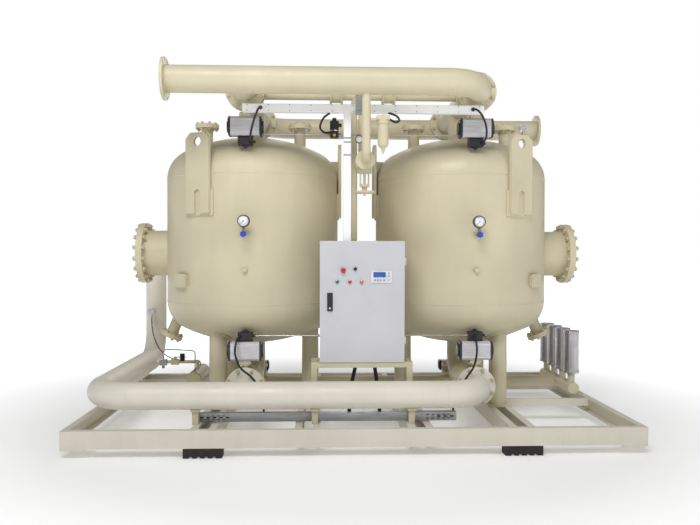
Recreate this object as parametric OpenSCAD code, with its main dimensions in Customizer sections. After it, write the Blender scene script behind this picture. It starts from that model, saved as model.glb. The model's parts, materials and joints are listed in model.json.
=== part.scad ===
// Skid-mounted desiccant air dryer with two towers, in millimetres.
// X runs along the skid, Y points to the rear, Z is up. The origin is under the skid's centre, on the ground.

/* [Skid] */
// Length of the skid, along X
skid_l = 4580; // [4580:10:5200]
// Width of the skid, along Y
skid_w = 2700; // [2680:10:3200]
// Height of the skid's channels
channel_h = 140; // [100:5:180]
// Width of the channels' flanges
channel_b = 58; // [45:1:75]
// Thickness of the channels' webs
channel_web = 6; // [4:0.5:12]
// Thickness of the channels' flanges
channel_fl = 9.5; // [6:0.5:16]
// Height of the ties' channels
tie_h = 70; // [60:5:100]
// Width of the ties' flanges
tie_b = 40; // [35:1:50]
// Overall width of a pair of bearers
bearer_pair_w = 200; // [160:5:240]
// Height of the foot pads
pad_h = 77; // [40:1:120]
// Length of a foot pad, along X
pad_l = 300; // [200:10:400]
// Width of a foot pad, along Y
pad_w = 120; // [80:5:200]

/* [Towers] */
// Outer diameter of a tower
tower_d = 1600; // [1500:10:1660]
// Distance between the tower axes
tower_spacing = 1970; // [1940:10:2100]
// Place of the towers' mid-plane along X
tower_mid_x = 50; // [40:5:60]
// Thickness of the shell
shell_t = 12; // [8:1:20]
// Height of the lower heads' apexes above the skid
apex_rise = 526; // [500:2:560]
// Height between the two seams
barrel_h = 1128; // [1060:4:1200]
// Radius of the heads' crown as a share of the diameter
crown_ratio = 0.9045; // [0.88:0.0005:0.93]
// Radius of the heads' knuckle as a share of the diameter
knuckle_ratio = 0.1727; // [0.16:0.0005:0.19]
// Outer diameter of a leg
leg_d = 159; // [114:1:180]
// Wall of a leg
leg_wall = 8; // [5:0.5:12]
// Radius of the circle that the legs stand on
leg_r = 540; // [500:5:580]
// Side of a leg's base plate
leg_plate = 210; // [200:2:230]
// Thickness of a leg's base plate
leg_plate_t = 16; // [10:1:24]

/* [Lifting lugs] */
// Width of a lug's plate
lug_w = 250; // [200:5:280]
// Thickness of a lug's plate
lug_t = 28; // [20:1:40]
// Length of a lug's plate
lug_h = 690; // [600:5:740]
// Distance from the upper seam down to the plate's foot
lug_drop = 346; // [300:2:400]
// Diameter of the lifting eye
eye_d = 80; // [50:1:100]
// Distance from the plate's top to the eye's centre
eye_edge = 76; // [70:1:110]
// Thickness of the curved pad under a lug
lug_pad_t = 14; // [8:1:20]

/* [Main pipes] */
// Outer diameter of the main pipes
main_d = 219; // [194:1:230]
// Wall of the main pipes
main_wall = 8; // [5:0.5:10]
// Distance from the pipe's wall to the bolt circle
main_bolt_gap = 38; // [34:0.5:46]
// Distance from the bolt circle to the flange's rim
main_rim = 22.5; // [20:0.5:30]
// Diameter of the studs
main_stud_d = 20; // [16:1:22]
// Number of studs in a joint
main_studs = 8; // [8:4:12]
// Thickness of the flanges
main_flange_t = 24; // [18:1:32]
// Distance from the shells to the axes of the headers
header_gap = 340; // [330:2:350]
// Height of the top headers above the upper heads' apexes
top_rise = 296; // [290:2:330]
// Height of the lower header above the skid
low_rise = 228; // [210:2:250]
// Radius of the long elbows
elbow_r = 305; // [290:1:320]
// Straight length between an elbow and its flange
spool_l = 30; // [20:1:50]
// Radius of the elbows under the towers
drop_elbow_r = 219; // [200:1:225]
// Distance from the left tower to the front header's end
front_reach = 610; // [520:5:900]
// Distance from the right tower to the rear header's end
rear_reach = 1095; // [900:5:1150]
// Distance from the left tower to the inlet run
run_reach = 1180; // [1150:5:1180]
// Distance from the tower axes back to the inlet riser
riser_y = 1150; // [1130:2:1160]
// Height of the inlet flange above the lower header
riser_h = 1215; // [1000:5:1500]

/* [Switching valves] */
// Face-to-face length of a main valve
valve_l = 60; // [50:1:70]
// Clear bore of a main valve
valve_bore = 200; // [170:1:201]
// Thickness of a valve disc
disc_t = 16; // [12:1:20]
// Diameter of a valve stem
stem_d = 24; // [18:1:28]
// Height of a main valve's neck above its axis
neck_h = 200; // [190:1:220]
// Length of an actuator with its end caps
act_l = 308; // [280:2:340]
// Height of an actuator
act_h = 160; // [140:2:170]
// Depth of an actuator
act_w = 140; // [120:2:146]
// Length of an actuator's end cap
act_cap = 32; // [24:1:44]
// Height of the bracket under an actuator
bracket_h = 28; // [24:1:40]
// Height of an indicator box
box_h = 78; // [60:1:86]

/* [Ports and manholes] */
// Outer diameter of the port and exhaust pipes
port_d = 108; // [89:1:114]
// Wall of the port and exhaust pipes
port_wall = 5; // [4:0.5:7]
// Distance from the port pipe's wall to its bolt circle
port_bolt_gap = 36; // [30:0.5:40]
// Distance from the port's bolt circle to its rim
port_rim = 20; // [17:0.5:26]
// Diameter of the port bolts
port_bolt_d = 16; // [12:1:18]
// Number of bolts in a port
port_bolts = 8; // [4:4:8]
// Thickness of the port flanges
port_flange_t = 20; // [14:1:26]
// Distance from the tower axis to a fill port
fill_x = 440; // [400:5:470]
// Height of the fill ports' faces above the upper heads' apexes
fill_rise = 114; // [100:2:130]
// Distance from the tower axis to the foot of the unloading nozzle
unload_r = 719; // [700:1:735]
// Lean of the unloading nozzle from upright
unload_lean = 24; // [18:1:32]
// Length of the unloading nozzle outside the shell
unload_l = 150; // [140:2:180]
// Outer diameter of the manhole's neck
man_d = 426; // [377:1:450]
// Wall of the manhole's neck
man_wall = 10; // [8:0.5:14]
// Distance from the neck's wall to its bolt circle
man_bolt_gap = 44.5; // [40:0.5:50]
// Distance from the manhole's bolt circle to its rim
man_rim = 25; // [23:0.5:30]
// Diameter of the manhole bolts
man_bolt_d = 24; // [18:1:26]
// Number of manhole bolts
man_bolts = 16; // [12:4:20]
// Thickness of the manhole's flange and of its cover
man_flange_t = 28; // [22:1:36]
// Distance from the shell to the manhole's face
man_out = 225; // [190:5:250]
// Height of the manhole above the lower seam
man_rise = 442; // [400:2:500]

/* [Exhaust] */
// Distance from the tower axes back to the exhaust line
exhaust_y = 300; // [296:1:304]
// Height of the exhaust line above the skid
exhaust_rise = 88; // [80:1:96]
// Radius of the exhaust elbows
exhaust_elbow_r = 152; // [140:1:160]
// Height of the exhaust branches above the lower header
branch_rise = 195; // [185:1:200]
// Face-to-face length of an exhaust valve
exhaust_valve_l = 52; // [44:1:54]
// Distance from the right tower to the silencer manifold
manifold_reach = 1075; // [1040:5:1100]
// Distance between the silencers
silencer_pitch = 250; // [200:5:260]
// Number of silencers
silencer_count = 4; // [2:1:4]
// Diameter of a silencer
silencer_d = 150; // [120:2:160]
// Height of a silencer
silencer_h = 420; // [350:5:460]
// Outer diameter of the nipple under a silencer
silencer_nipple_d = 66; // [48:1:76]

/* [Purge and bypass] */
// Outer diameter of the purge pipes
purge_d = 70; // [60:1:76]
// Wall of the purge pipes
purge_wall = 4; // [3:0.5:6]
// Outer diameter of the purge flanges
purge_flange_d = 160; // [150:2:170]
// Thickness of the purge flanges
purge_flange_t = 18; // [14:1:24]
// Distance from the towers' mid-plane to the bypass branch
bypass_off = 20; // [15:1:30]
// Drop of the bypass below the top header
bypass_drop = 614; // [580:2:640]
// Face-to-face length of the globe valve
globe_l = 200; // [190:2:210]
// Diameter of the globe valve's handwheel
wheel_d = 195; // [170:5:200]
// Drop of the handwheel below the globe valve
wheel_drop = 258; // [250:1:270]
// Distance from the tower axes to the crossover pipe
cross_y = 550; // [500:5:570]
// Distance from the bypass branch to a check valve
check_off = 230; // [200:5:300]
// Length of a check valve between its flanges
check_l = 79; // [60:1:90]

/* [Cabinet] */
// Width of the control cabinet
cab_w = 700; // [690:5:720]
// Height of the control cabinet
cab_h = 1000; // [940:5:1040]
// Depth of the cabinet behind its door
cab_d = 255; // [220:5:260]
// Thickness of the cabinet's sheet
sheet = 3; // [2:0.5:4]
// Depth of the door's folded edge
door_t = 22; // [18:1:28]
// Distance from the shells to the front of the door
cab_out = 200; // [195:1:205]
// Distance from the towers' mid-plane to the cabinet's centre
cab_off = -2; // [-4:1:2]
// Width of the cabinet's stand
stand_w = 840; // [830:2:850]
// Height of the stand above the skid
stand_h = 470; // [440:2:480]
// Side of the stand's sections
stand_s = 50; // [40:1:50]
// Height of the sections of the stand's top frame
stand_top_h = 46; // [30:1:50]

/* [Cable ways] */
// Height of the upper cable trunking
trunk_h = 67; // [50:1:70]
// Depth of the cable trunking
trunk_w = 60; // [40:1:60]
// Height of the lower cable tray
tray_h = 70; // [50:1:90]
// Depth of the lower cable tray
tray_w = 58; // [40:1:58]
// Thickness of the cable tray's sheet
tray_t = 2; // [1.5:0.5:3]

/* [Instruments] */
// Diameter of a gauge's dial case
gauge_d = 100; // [80:2:110]
// Height of the gauges above the lower seam
gauge_rise = 708; // [660:4:760]
// Distance from the shell to a gauge's centre
gauge_out = 120; // [110:2:140]
// Diameter of a gauge cock's handle
cock_d = 55; // [40:1:60]

/* [Drain] */
// Diameter of the drain pot
pot_d = 159; // [140:1:168]
// Length of the drain pot
pot_l = 580; // [560:5:620]
// Place of the drain pot's front end along Y
pot_y = 460; // [440:5:480]
// Distance from the inlet run to the drain pot
pot_reach = 530; // [510:5:560]
// Distance from the pot's front end to the drain line
drain_in = 240; // [220:5:260]

/* [Hidden] */
$fn = 96;

cream = [0.80, 0.74, 0.60];
skid_cream = [0.78, 0.74, 0.63];
silver = [0.75, 0.76, 0.77];
steel = [0.55, 0.55, 0.56];
black = [0.10, 0.10, 0.11];
cabinet_grey = [0.80, 0.80, 0.78];
white = [0.90, 0.90, 0.88];

// Clearance between pieces that move against each other
clear = 0.3;
// Overlap that joins or cuts solids cleanly
eps = 1;
// Radial clearance of bolts in their holes
bolt_play = 1;
// Gap at a weld or a seat between solids that stay separate
weld_gap = 0.3;

// Heads: a crown arc and a knuckle arc that meet on one ray from the crown's centre
crown_r = crown_ratio * tower_d;
knuckle_r = knuckle_ratio * tower_d;
knuckle_c = tower_d / 2 - knuckle_r;
meet_sin = knuckle_c / (crown_r - knuckle_r);
crown_drop = (crown_r - knuckle_r) * sqrt(1 - meet_sin * meet_sin);
head_h = crown_r - crown_drop;

// Levels
beam_top = pad_h + channel_h;
apex_lo = beam_top + apex_rise;
seam_lo = apex_lo + head_h;
seam_hi = seam_lo + barrel_h;
apex_hi = seam_hi + head_h;
top_z = apex_hi + top_rise;
low_z = beam_top + low_rise;
exhaust_z = beam_top + exhaust_rise;

// Stations of the tower nozzles
nozzle_stub = 43;
joint_hi = apex_hi + nozzle_stub;
joint_lo = apex_lo - nozzle_stub;

// Flange sizes: pipe, wall, flange, bolt circle, bolt, count, thickness
function flange_of(d, wall, gap, rim, bolt, count, t) =
  [d, wall, d + 2 * gap + 2 * rim, d + 2 * gap, bolt, count, t];
main_f = flange_of(main_d, main_wall, main_bolt_gap, main_rim, main_stud_d, main_studs, main_flange_t);
port_f = flange_of(port_d, port_wall, port_bolt_gap, port_rim, port_bolt_d, port_bolts, port_flange_t);
man_f = flange_of(man_d, man_wall, man_bolt_gap, man_rim, man_bolt_d, man_bolts, man_flange_t);

// Stations along Y of a main valve joint, from the header towards the tower
header_y = tower_d / 2 + header_gap;
y_header_flange = header_y - elbow_r - spool_l;
y_valve_front = y_header_flange - main_flange_t;
y_valve_back = y_valve_front - valve_l;
y_tee_flange = y_valve_back - main_flange_t;
y_valve = (y_valve_front + y_valve_back) / 2;

// Stations along Z of an exhaust valve joint, from the branch down
exhaust_spool = 10;
branch_z = low_z + branch_rise;
z_ex_flange = branch_z - exhaust_elbow_r - exhaust_spool;
z_ex_top = z_ex_flange - port_flange_t;
z_ex_bottom = z_ex_top - exhaust_valve_l;
z_ex_line = z_ex_bottom - port_flange_t;
z_ex_valve = (z_ex_top + z_ex_bottom) / 2;

// Sizes of the two valve kinds: bore, face length, ring, neck height, actuator length, height, depth and cap,
// box height, bracket height and neck diameter
exhaust_act = 0.72;
main_ring = main_f[3] - main_stud_d - 2 * bolt_play - 5;
port_ring = port_f[3] - port_bolt_d - 2 * bolt_play - 5;
port_bore = port_d - 2 * port_wall;
exhaust_neck_h = 140;
neck_gap = 3;
// Widest neck that passes between the flanges and the two studs beside it
function neck_of(f, l) = min(l, f[3] * sin(180 / f[5]) - f[4]) - 2 * neck_gap;
main_v = [valve_bore, valve_l, main_ring, neck_h, act_l, act_h, act_w, act_cap, box_h, bracket_h,
  neck_of(main_f, valve_l)];
exhaust_v = [port_bore - 2, exhaust_valve_l, port_ring, exhaust_neck_h, exhaust_act * act_l,
  exhaust_act * act_h, exhaust_act * act_w, exhaust_act * act_cap, exhaust_act * box_h,
  exhaust_act * bracket_h, neck_of(port_f, exhaust_valve_l)];
neck_pad_d = 96;
neck_pad_t = 12;
indicator_t = 8;

// Places
function tower_x(s) = tower_mid_x + s * tower_spacing / 2;
leg_angles = [-60, 60, 180];
man_reach = tower_d / 2 + man_out;
run_x = tower_x(-1) - run_reach;
manifold_x = tower_x(1) + manifold_reach;
bypass_elbow_r = 1.5 * purge_d;
bypass_x = tower_mid_x + bypass_off;
bypass_z = top_z - bypass_drop;
bypass_spool = 15;
y_globe_front = header_y - bypass_elbow_r - bypass_spool - purge_flange_t;
y_globe_back = y_globe_front - globe_l;
y_globe = (y_globe_front + y_globe_back) / 2;
cab_bottom = beam_top + stand_h;
cab_x = tower_mid_x + cab_off;
cab_left = cab_x - cab_w / 2;
cab_front = tower_d / 2 + cab_out;
door_gap = 3;
cab_face = cab_front - door_t - door_gap;
pot_x = run_x + pot_reach;
pot_z = beam_top + pot_d / 2;
drain_y = pot_y + drain_in;

// Basic shapes

// A channel along +Y, its web on the X = 0 side, its toes towards +X
module channel(l, h = channel_h, b = channel_b) {
  rotate([90, 0, 0])
    translate([0, 0, -l])
      linear_extrude(l)
        polygon([
          [0, 0], [b, 0], [b, channel_fl], [channel_web, channel_fl],
          [channel_web, h - channel_fl], [b, h - channel_fl], [b, h], [0, h]
        ]);
}

// A box centred in X and Y, standing on z = 0
module block(x, y, z) {
  translate([-x / 2, -y / 2, 0])
    cube([x, y, z]);
}

// Puts children's +Z along +Y
module along_y() {
  rotate([-90, 0, 0])
    children();
}

// Puts children's +Z along +X
module along_x() {
  rotate([0, 90, 0])
    children();
}

// A bend of round bar in the XY plane: it enters at the origin along +X and turns left to +Y
module bend(d, r) {
  translate([0, r, 0])
    rotate([0, 0, -90])
      rotate_extrude(angle = 90)
        translate([r, 0])
          circle(d = d);
}

// An elbow whose centre lines meet at the origin: it comes in along one axis and leaves along the other
module turn(d, r, from, to) {
  n = cross(from, to);
  multmatrix([
    [from[0], to[0], n[0], 0], [from[1], to[1], n[1], 0], [from[2], to[2], n[2], 0], [0, 0, 0, 1]
  ])
    translate([-r, 0, 0])
      bend(d, r);
}

// Repeats children round Z, at half steps from X, at the bolt circle's radius
module on_bolt_circle(f) {
  for (i = [0 : f[5] - 1])
    rotate([0, 0, (i + 0.5) * 360 / f[5]])
      translate([f[3] / 2, 0, 0])
        children();
}

// A drilled flange plate from z = 0 up, with no bore of its own
module flange(f) {
  difference() {
    cylinder(d = f[2], h = f[6]);
    on_bolt_circle(f)
      translate([0, 0, -eps])
        cylinder(d = f[4] + 2 * bolt_play, h = f[6] + 2 * eps);
  }
}

// A bolt or stud with a hexagon at each end, gripping from z = 0 to the given length
module stud(d, grip) {
  nut_h = 0.8 * d;
  tail = 0.35 * d;
  translate([0, 0, -nut_h - tail])
    cylinder(d = d, h = grip + 2 * nut_h + 2 * tail);
  for (z = [-nut_h - weld_gap, grip + weld_gap])
    translate([0, 0, z])
      cylinder(d = 1.73 * d, h = nut_h, $fn = 6);
}

// Towers

module head_half(inset) {
  meet_x = (crown_r - inset) * meet_sin;
  intersection() {
    translate([0, -crown_drop])
      circle(r = crown_r - inset);
    square([meet_x, tower_d]);
  }
  intersection() {
    translate([knuckle_c, 0])
      circle(r = knuckle_r - inset);
    translate([meet_x, 0])
      square(tower_d);
  }
}

// The body of a vessel on the Z axis, inset from its outer surface
module vessel(inset) {
  rotate_extrude($fn = 240) {
    translate([0, seam_hi])
      head_half(inset);
    translate([0, seam_lo])
      square([tower_d / 2 - inset, barrel_h]);
    translate([0, seam_lo])
      mirror([0, 1])
        head_half(inset);
  }
}

// Places children on a tower: local +X points away from the other tower
module on_tower(s) {
  translate([tower_x(s), 0, 0])
    mirror([s < 0 ? 1 : 0, 0, 0])
      children();
}

unload_z = seam_lo - sqrt(knuckle_r * knuckle_r - (unload_r - knuckle_c) * (unload_r - knuckle_c));
man_z = seam_lo + man_rise;
fill_z = apex_hi + fill_rise;
fill_l = fill_z - seam_hi;
gauge_z = seam_lo + gauge_rise;
cock_drop = 108;
cock_z = gauge_z - cock_drop;
port_boss_z = seam_lo + 300;
boss_d = 46;
boss_out = 22;

module at_unload() {
  translate([unload_r, 0, unload_z])
    rotate([0, 180 - unload_lean, 0])
      children();
}

module at_fills() {
  for (x = [-fill_x, fill_x])
    translate([x, 0, fill_z])
      children();
}

module at_manhole() {
  translate([man_reach, 0, man_z])
    along_x()
      children();
}

// Bracket for a plate on the outer front of a tower
module plate_bracket() {
  rotate([0, 0, -45])
    translate([tower_d / 2, 0, seam_lo + 142]) {
      translate([28, -82, 0])
        cube([4, 164, 120]);
      for (y = [-60, 60])
        translate([-8, y - 5, 8])
          cube([37, 10, 104]);
    }
}

module tower_shell(s) {
  color(cream)
    on_tower(s)
      difference() {
        union() {
          vessel(0);
          translate([0, 0, seam_hi])
            cylinder(d = main_d, h = joint_hi - seam_hi);
          translate([0, 0, joint_lo])
            cylinder(d = main_d, h = seam_lo - joint_lo);
          translate([0, 0, man_z])
            along_x()
              cylinder(d = man_d, h = man_reach);
          at_manhole()
            mirror([0, 0, 1])
              flange(man_f);
          at_fills() {
            translate([0, 0, -fill_l])
              cylinder(d = port_d, h = fill_l);
            mirror([0, 0, 1])
              flange(port_f);
          }
          at_unload() {
            translate([0, 0, -3 * shell_t])
              cylinder(d = port_d, h = unload_l + 3 * shell_t);
            translate([0, 0, unload_l - port_flange_t])
              flange(port_f);
          }
          for (z = [cock_z, port_boss_z])
            translate([0, 0, z])
              rotate([90, 0, 0])
                cylinder(d = boss_d, h = tower_d / 2 + boss_out);
          translate([0, -tower_d / 2 - boss_out, port_boss_z])
            rotate([90, 0, 0])
              cylinder(d = 36, h = 16, $fn = 6);
          plate_bracket();
        }
        vessel(shell_t);
        translate([0, 0, seam_hi])
          cylinder(d = main_d - 2 * main_wall, h = joint_hi - seam_hi + eps);
        translate([0, 0, joint_lo - eps])
          cylinder(d = main_d - 2 * main_wall, h = head_h + nozzle_stub);
        translate([0, 0, man_z])
          along_x()
            cylinder(d = man_d - 2 * man_wall, h = man_reach + eps);
        at_fills()
          translate([0, 0, -fill_l])
            cylinder(d = port_d - 2 * port_wall, h = fill_l + eps);
        at_unload()
          translate([0, 0, -4 * shell_t])
            cylinder(d = port_d - 2 * port_wall, h = unload_l + 4 * shell_t + eps);
      }
}

module left_tower_shell() {
  tower_shell(-1);
}

module right_tower_shell() {
  tower_shell(1);
}

module tower_legs() {
  color(cream)
    for (s = [-1, 1])
      on_tower(s)
        for (a = leg_angles)
          rotate([0, 0, a]) {
            translate([leg_r, 0, beam_top])
              rotate([0, 0, -a])
                block(leg_plate, leg_plate, leg_plate_t);
            difference() {
              translate([leg_r, 0, beam_top + leg_plate_t - eps])
                cylinder(d = leg_d, h = seam_lo - beam_top);
              translate([leg_r, 0, beam_top + leg_plate_t])
                cylinder(d = leg_d - 2 * leg_wall, h = seam_lo - beam_top);
              vessel(0);
            }
          }
}

lug_z = seam_hi - lug_drop;
lug_in = sqrt(pow(tower_d / 2 + lug_pad_t, 2) - lug_w * lug_w / 4);
rib_t = 20;
rib_lo = seam_hi - 112;
rib_hi = seam_hi + 190;
pad_extra = 20;

module lug_plate() {
  chamfer = lug_w / 5;
  slot_w = lug_w / 4;
  slot_h = lug_h / 4;
  difference() {
    polygon([
      [-lug_w / 2, 0], [lug_w / 2, 0], [lug_w / 2, lug_h - chamfer], [lug_w / 2 - chamfer, lug_h],
      [-lug_w / 2 + chamfer, lug_h], [-lug_w / 2, lug_h - chamfer]
    ]);
    translate([0, lug_h - eye_edge])
      circle(d = eye_d);
    translate([-slot_w / 2, -eps])
      square([slot_w, slot_h + eps]);
    translate([0, slot_h])
      circle(d = slot_w);
  }
}

module lifting_lug() {
  translate([lug_in, 0, lug_z])
    rotate([90, 0, 90])
      linear_extrude(lug_t)
        lug_plate();
  intersection() {
    difference() {
      translate([0, 0, lug_z - pad_extra])
        cylinder(r = tower_d / 2 + lug_pad_t, h = lug_h / 3);
      translate([0, 0, lug_z - pad_extra - eps])
        cylinder(d = tower_d + 2 * weld_gap, h = lug_h / 3 + 2 * eps);
    }
    translate([tower_d / 4, -lug_w / 2 - pad_extra, lug_z - pad_extra])
      cube([tower_d, lug_w + 2 * pad_extra, lug_h]);
  }
  difference() {
    translate([knuckle_c, -rib_t / 2, rib_lo])
      cube([lug_in + eps - knuckle_c, rib_t, rib_hi - rib_lo]);
    vessel(-weld_gap);
  }
}

module lifting_lugs() {
  color(cream)
    for (s = [-1, 1])
      on_tower(s)
        for (a = leg_angles)
          rotate([0, 0, a])
            lifting_lug();
}

handle_d = 16;
handle_l = 150;
handle_out = 48;

// A bow handle on a plate at z = 0, along local X
module bow_handle() {
  for (x = [-handle_l / 2, handle_l / 2]) {
    translate([x, 0, -eps])
      cylinder(d = handle_d, h = handle_out + eps);
    translate([x, 0, handle_out])
      sphere(d = handle_d);
  }
  translate([-handle_l / 2, 0, handle_out])
    along_x()
      cylinder(d = handle_d, h = handle_l);
}

module manhole_covers() {
  color(cream)
    for (s = [-1, 1])
      on_tower(s)
        at_manhole() {
          flange(man_f);
          translate([0, 0, man_flange_t])
            bow_handle();
        }
}

module port_covers() {
  color(cream)
    for (s = [-1, 1])
      on_tower(s) {
        at_fills()
          flange(port_f);
        at_unload()
          translate([0, 0, unload_l])
            flange(port_f);
      }
}

module cover_bolts() {
  color(steel)
    for (s = [-1, 1])
      on_tower(s) {
        at_manhole()
          on_bolt_circle(man_f)
            translate([0, 0, -man_flange_t])
              stud(man_bolt_d, 2 * man_flange_t);
        at_fills()
          on_bolt_circle(port_f)
            translate([0, 0, -port_flange_t])
              stud(port_bolt_d, 2 * port_flange_t);
        at_unload()
          on_bolt_circle(port_f)
            translate([0, 0, unload_l - port_flange_t])
              stud(port_bolt_d, 2 * port_flange_t);
      }
}

screen_t = 16;
screen_z = apex_lo + shell_t + 86;
bed_z = screen_z + screen_t + clear;
bed_top = seam_hi - 150;
// Inner radius of the lower head's crown at a level
function crown_reach(z) = sqrt(pow(crown_r - shell_t, 2) - pow(seam_lo + crown_drop - z, 2));

module desiccant_beds() {
  color([0.85, 0.82, 0.76])
    for (s = [-1, 1])
      on_tower(s)
        intersection() {
          vessel(shell_t + clear);
          translate([0, 0, bed_z])
            cylinder(d = 2 * tower_d, h = bed_top - bed_z);
        }
}

// A perforated round plate
module screen(r) {
  hole_d = 40;
  difference() {
    cylinder(r = r, h = screen_t);
    for (ring = [1 : 3])
      for (i = [0 : 6 * ring - 1])
        rotate([0, 0, i * 60 / ring])
          translate([ring * r / 4, 0, -eps])
            cylinder(d = hole_d, h = screen_t + 2 * eps);
  }
}

module bed_screens() {
  color(steel)
    for (s = [-1, 1])
      on_tower(s) {
        translate([0, 0, screen_z])
          screen(crown_reach(screen_z) - clear);
        translate([0, 0, bed_top + clear])
          screen(tower_d / 2 - shell_t - clear);
      }
}

// Skid

// A channel along +X on the front edge, mitred at both ends, its web to the front
module front_channel(l, w) {
  intersection() {
    translate([-l / 2, -w / 2, pad_h])
      mirror([1, -1, 0])
        channel(l);
    translate([0, 0, pad_h - eps])
      linear_extrude(channel_h + 2 * eps)
        polygon([
          [-l / 2, -w / 2], [l / 2, -w / 2], [l / 2 - channel_b, -w / 2 + channel_b],
          [-l / 2 + channel_b, -w / 2 + channel_b]
        ]);
  }
}

module skid_side_beams() {
  color(skid_cream)
    for (a = [0, 180])
      rotate([0, 0, a])
        front_channel(skid_l, skid_w);
}

// End beams with a thin plate under each corner of the skid
module skid_end_beams() {
  plate = 200;
  plate_t = 12;
  color(skid_cream) {
    for (a = [90, 270])
      rotate([0, 0, a])
        front_channel(skid_w, skid_l);
    for (x = [-1, 1])
      for (y = [-1, 1])
        translate([x * (skid_l - plate) / 2, y * (skid_w - plate) / 2, pad_h - plate_t])
          block(plate, plate, plate_t);
  }
}

function bearer_xs() = [
  tower_x(-1) - leg_r / 2, tower_x(-1) + leg_r, tower_x(1) - leg_r, tower_x(1) + leg_r / 2
];
bearer_l = skid_w - 2 * channel_b;
left_tie_ys = [pot_y + 60, pot_y + pot_l - 130];
right_tie_ys = [-210, 640];

// A tie along X between two stations, flush with the beams' tops
module tie(x0, x1, y) {
  translate([x0, y, beam_top - tie_h])
    mirror([1, -1, 0])
      channel(x1 - x0, tie_h, tie_b);
}

module skid_bearers() {
  xs = bearer_xs();
  inner = skid_l / 2 - channel_b;
  color(skid_cream) {
    for (x = xs)
      for (m = [0, 1])
        translate([x, -bearer_l / 2, pad_h])
          mirror([m, 0, 0])
            translate([-bearer_pair_w / 2, 0, 0])
              channel(bearer_l);
    for (y = left_tie_ys)
      tie(-inner, xs[0] - bearer_pair_w / 2 - weld_gap, y);
    for (y = right_tie_ys)
      tie(xs[3] + bearer_pair_w / 2 + weld_gap, inner, y);
  }
}

// A foot pad with scalloped lower edges
module foot_pad() {
  scallop_n = 5;
  pitch = pad_l / scallop_n;
  difference() {
    block(pad_l, pad_w, pad_h);
    for (i = [0 : scallop_n - 2])
      translate([(i + 1) * pitch - pad_l / 2, pad_w / 2 + eps, 0])
        rotate([90, 0, 0])
          cylinder(d = pitch / 2, h = pad_w + 2 * eps);
  }
}

module foot_pads() {
  xs = bearer_xs();
  color(black)
    for (x = [xs[0], xs[3]])
      for (s = [-1, 1])
        translate([x, s * (skid_w - pad_w) / 2, 0])
          foot_pad();
}

// Main pipework

// A tee's branch is drawn down a little from its run
branch_step = 3;
// Stub on a top tee for the crossover pipe
cross_stub = main_d / 2 + 40;

// Tee on a tower's top nozzle, with a flange to the front and to the rear
module top_tee(s, d, grown) {
  translate([tower_x(s), 0, 0]) {
    translate([0, 0, joint_hi + weld_gap - grown])
      cylinder(d = d - branch_step, h = top_z - joint_hi - weld_gap + grown);
    translate([0, -y_valve_back - grown, top_z])
      along_y()
        cylinder(d = d, h = 2 * (y_valve_back + grown));
    translate([0, -cross_y, top_z])
      rotate([0, -90 * s, 0])
        cylinder(d = purge_d - (main_d - d), h = cross_stub + grown);
  }
}

module top_tees() {
  color(cream)
    for (s = [-1, 1])
      difference() {
        union() {
          top_tee(s, main_d, 0);
          for (r = [-1, 1])
            translate([tower_x(s), r * y_tee_flange, top_z])
              rotate([-90 * r, 0, 0])
                flange(main_f);
        }
        top_tee(s, main_d - 2 * main_wall, eps);
      }
}

// Line of a bottom elbow: down from the nozzle, then forward
module bottom_line(d, grown) {
  translate([0, 0, low_z + drop_elbow_r])
    cylinder(d = d, h = joint_lo - low_z - drop_elbow_r + grown);
  translate([0, 0, low_z])
    turn(d, drop_elbow_r, [0, 0, -1], [0, -1, 0]);
  translate([0, -y_valve_back - grown, low_z])
    along_y()
      cylinder(d = d, h = y_valve_back - drop_elbow_r + grown);
}

// Line of an exhaust branch: back from the elbow's leg, then down
module branch_line(d, grown) {
  straight = exhaust_y - exhaust_elbow_r;
  translate([0, 0, branch_z])
    along_y()
      cylinder(d = d, h = straight);
  translate([0, exhaust_y, branch_z])
    turn(d, exhaust_elbow_r, [0, 1, 0], [0, 0, -1]);
  translate([0, exhaust_y, z_ex_top - grown])
    cylinder(d = d, h = port_flange_t + exhaust_spool + grown);
}

module bottom_elbows() {
  color(cream)
    for (s = [-1, 1])
      translate([tower_x(s), 0, 0])
        difference() {
          union() {
            bottom_line(main_d, 0);
            branch_line(port_d, 0);
            translate([0, -y_tee_flange, low_z])
              rotate([90, 0, 0])
                flange(main_f);
            translate([0, exhaust_y, z_ex_flange])
              mirror([0, 0, 1])
                flange(port_f);
          }
          bottom_line(main_d - 2 * main_wall, eps);
          branch_line(port_d - 2 * port_wall, eps);
        }
}

// Line of a header: an open end, a tee and an elbow, both of them to the rear
module header_line(reach, d, grown) {
  translate([-reach - grown, 0, 0])
    along_x()
      cylinder(d = d, h = reach + grown + tower_spacing - elbow_r);
  along_y()
    cylinder(d = d - branch_step, h = elbow_r + spool_l + main_flange_t + grown);
  translate([tower_spacing, 0, 0])
    turn(d, elbow_r, [1, 0, 0], [0, 1, 0]);
  translate([tower_spacing, elbow_r, 0])
    along_y()
      cylinder(d = d, h = spool_l + main_flange_t + grown);
}

module header_flanges() {
  for (x = [0, tower_spacing])
    translate([x, elbow_r + spool_l, 0])
      along_y()
        flange(main_f);
}

// Bypass branch under the front header: down, then back to its flange
module bypass_line(d, grown) {
  drop = bypass_drop - bypass_elbow_r;
  translate([0, 0, -drop])
    cylinder(d = d, h = drop);
  translate([0, 0, -bypass_drop])
    turn(d, bypass_elbow_r, [0, 0, -1], [0, 1, 0]);
  translate([0, bypass_elbow_r, -bypass_drop])
    along_y()
      cylinder(d = d, h = bypass_spool + purge_flange_t + grown);
}

module round_plate(d, t) {
  along_y()
    cylinder(d = d, h = t);
}

filter_z = top_z - 313;
filter_x = bypass_x + 135;
filter_head_w = 104;
nipple_d = 24;

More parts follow.
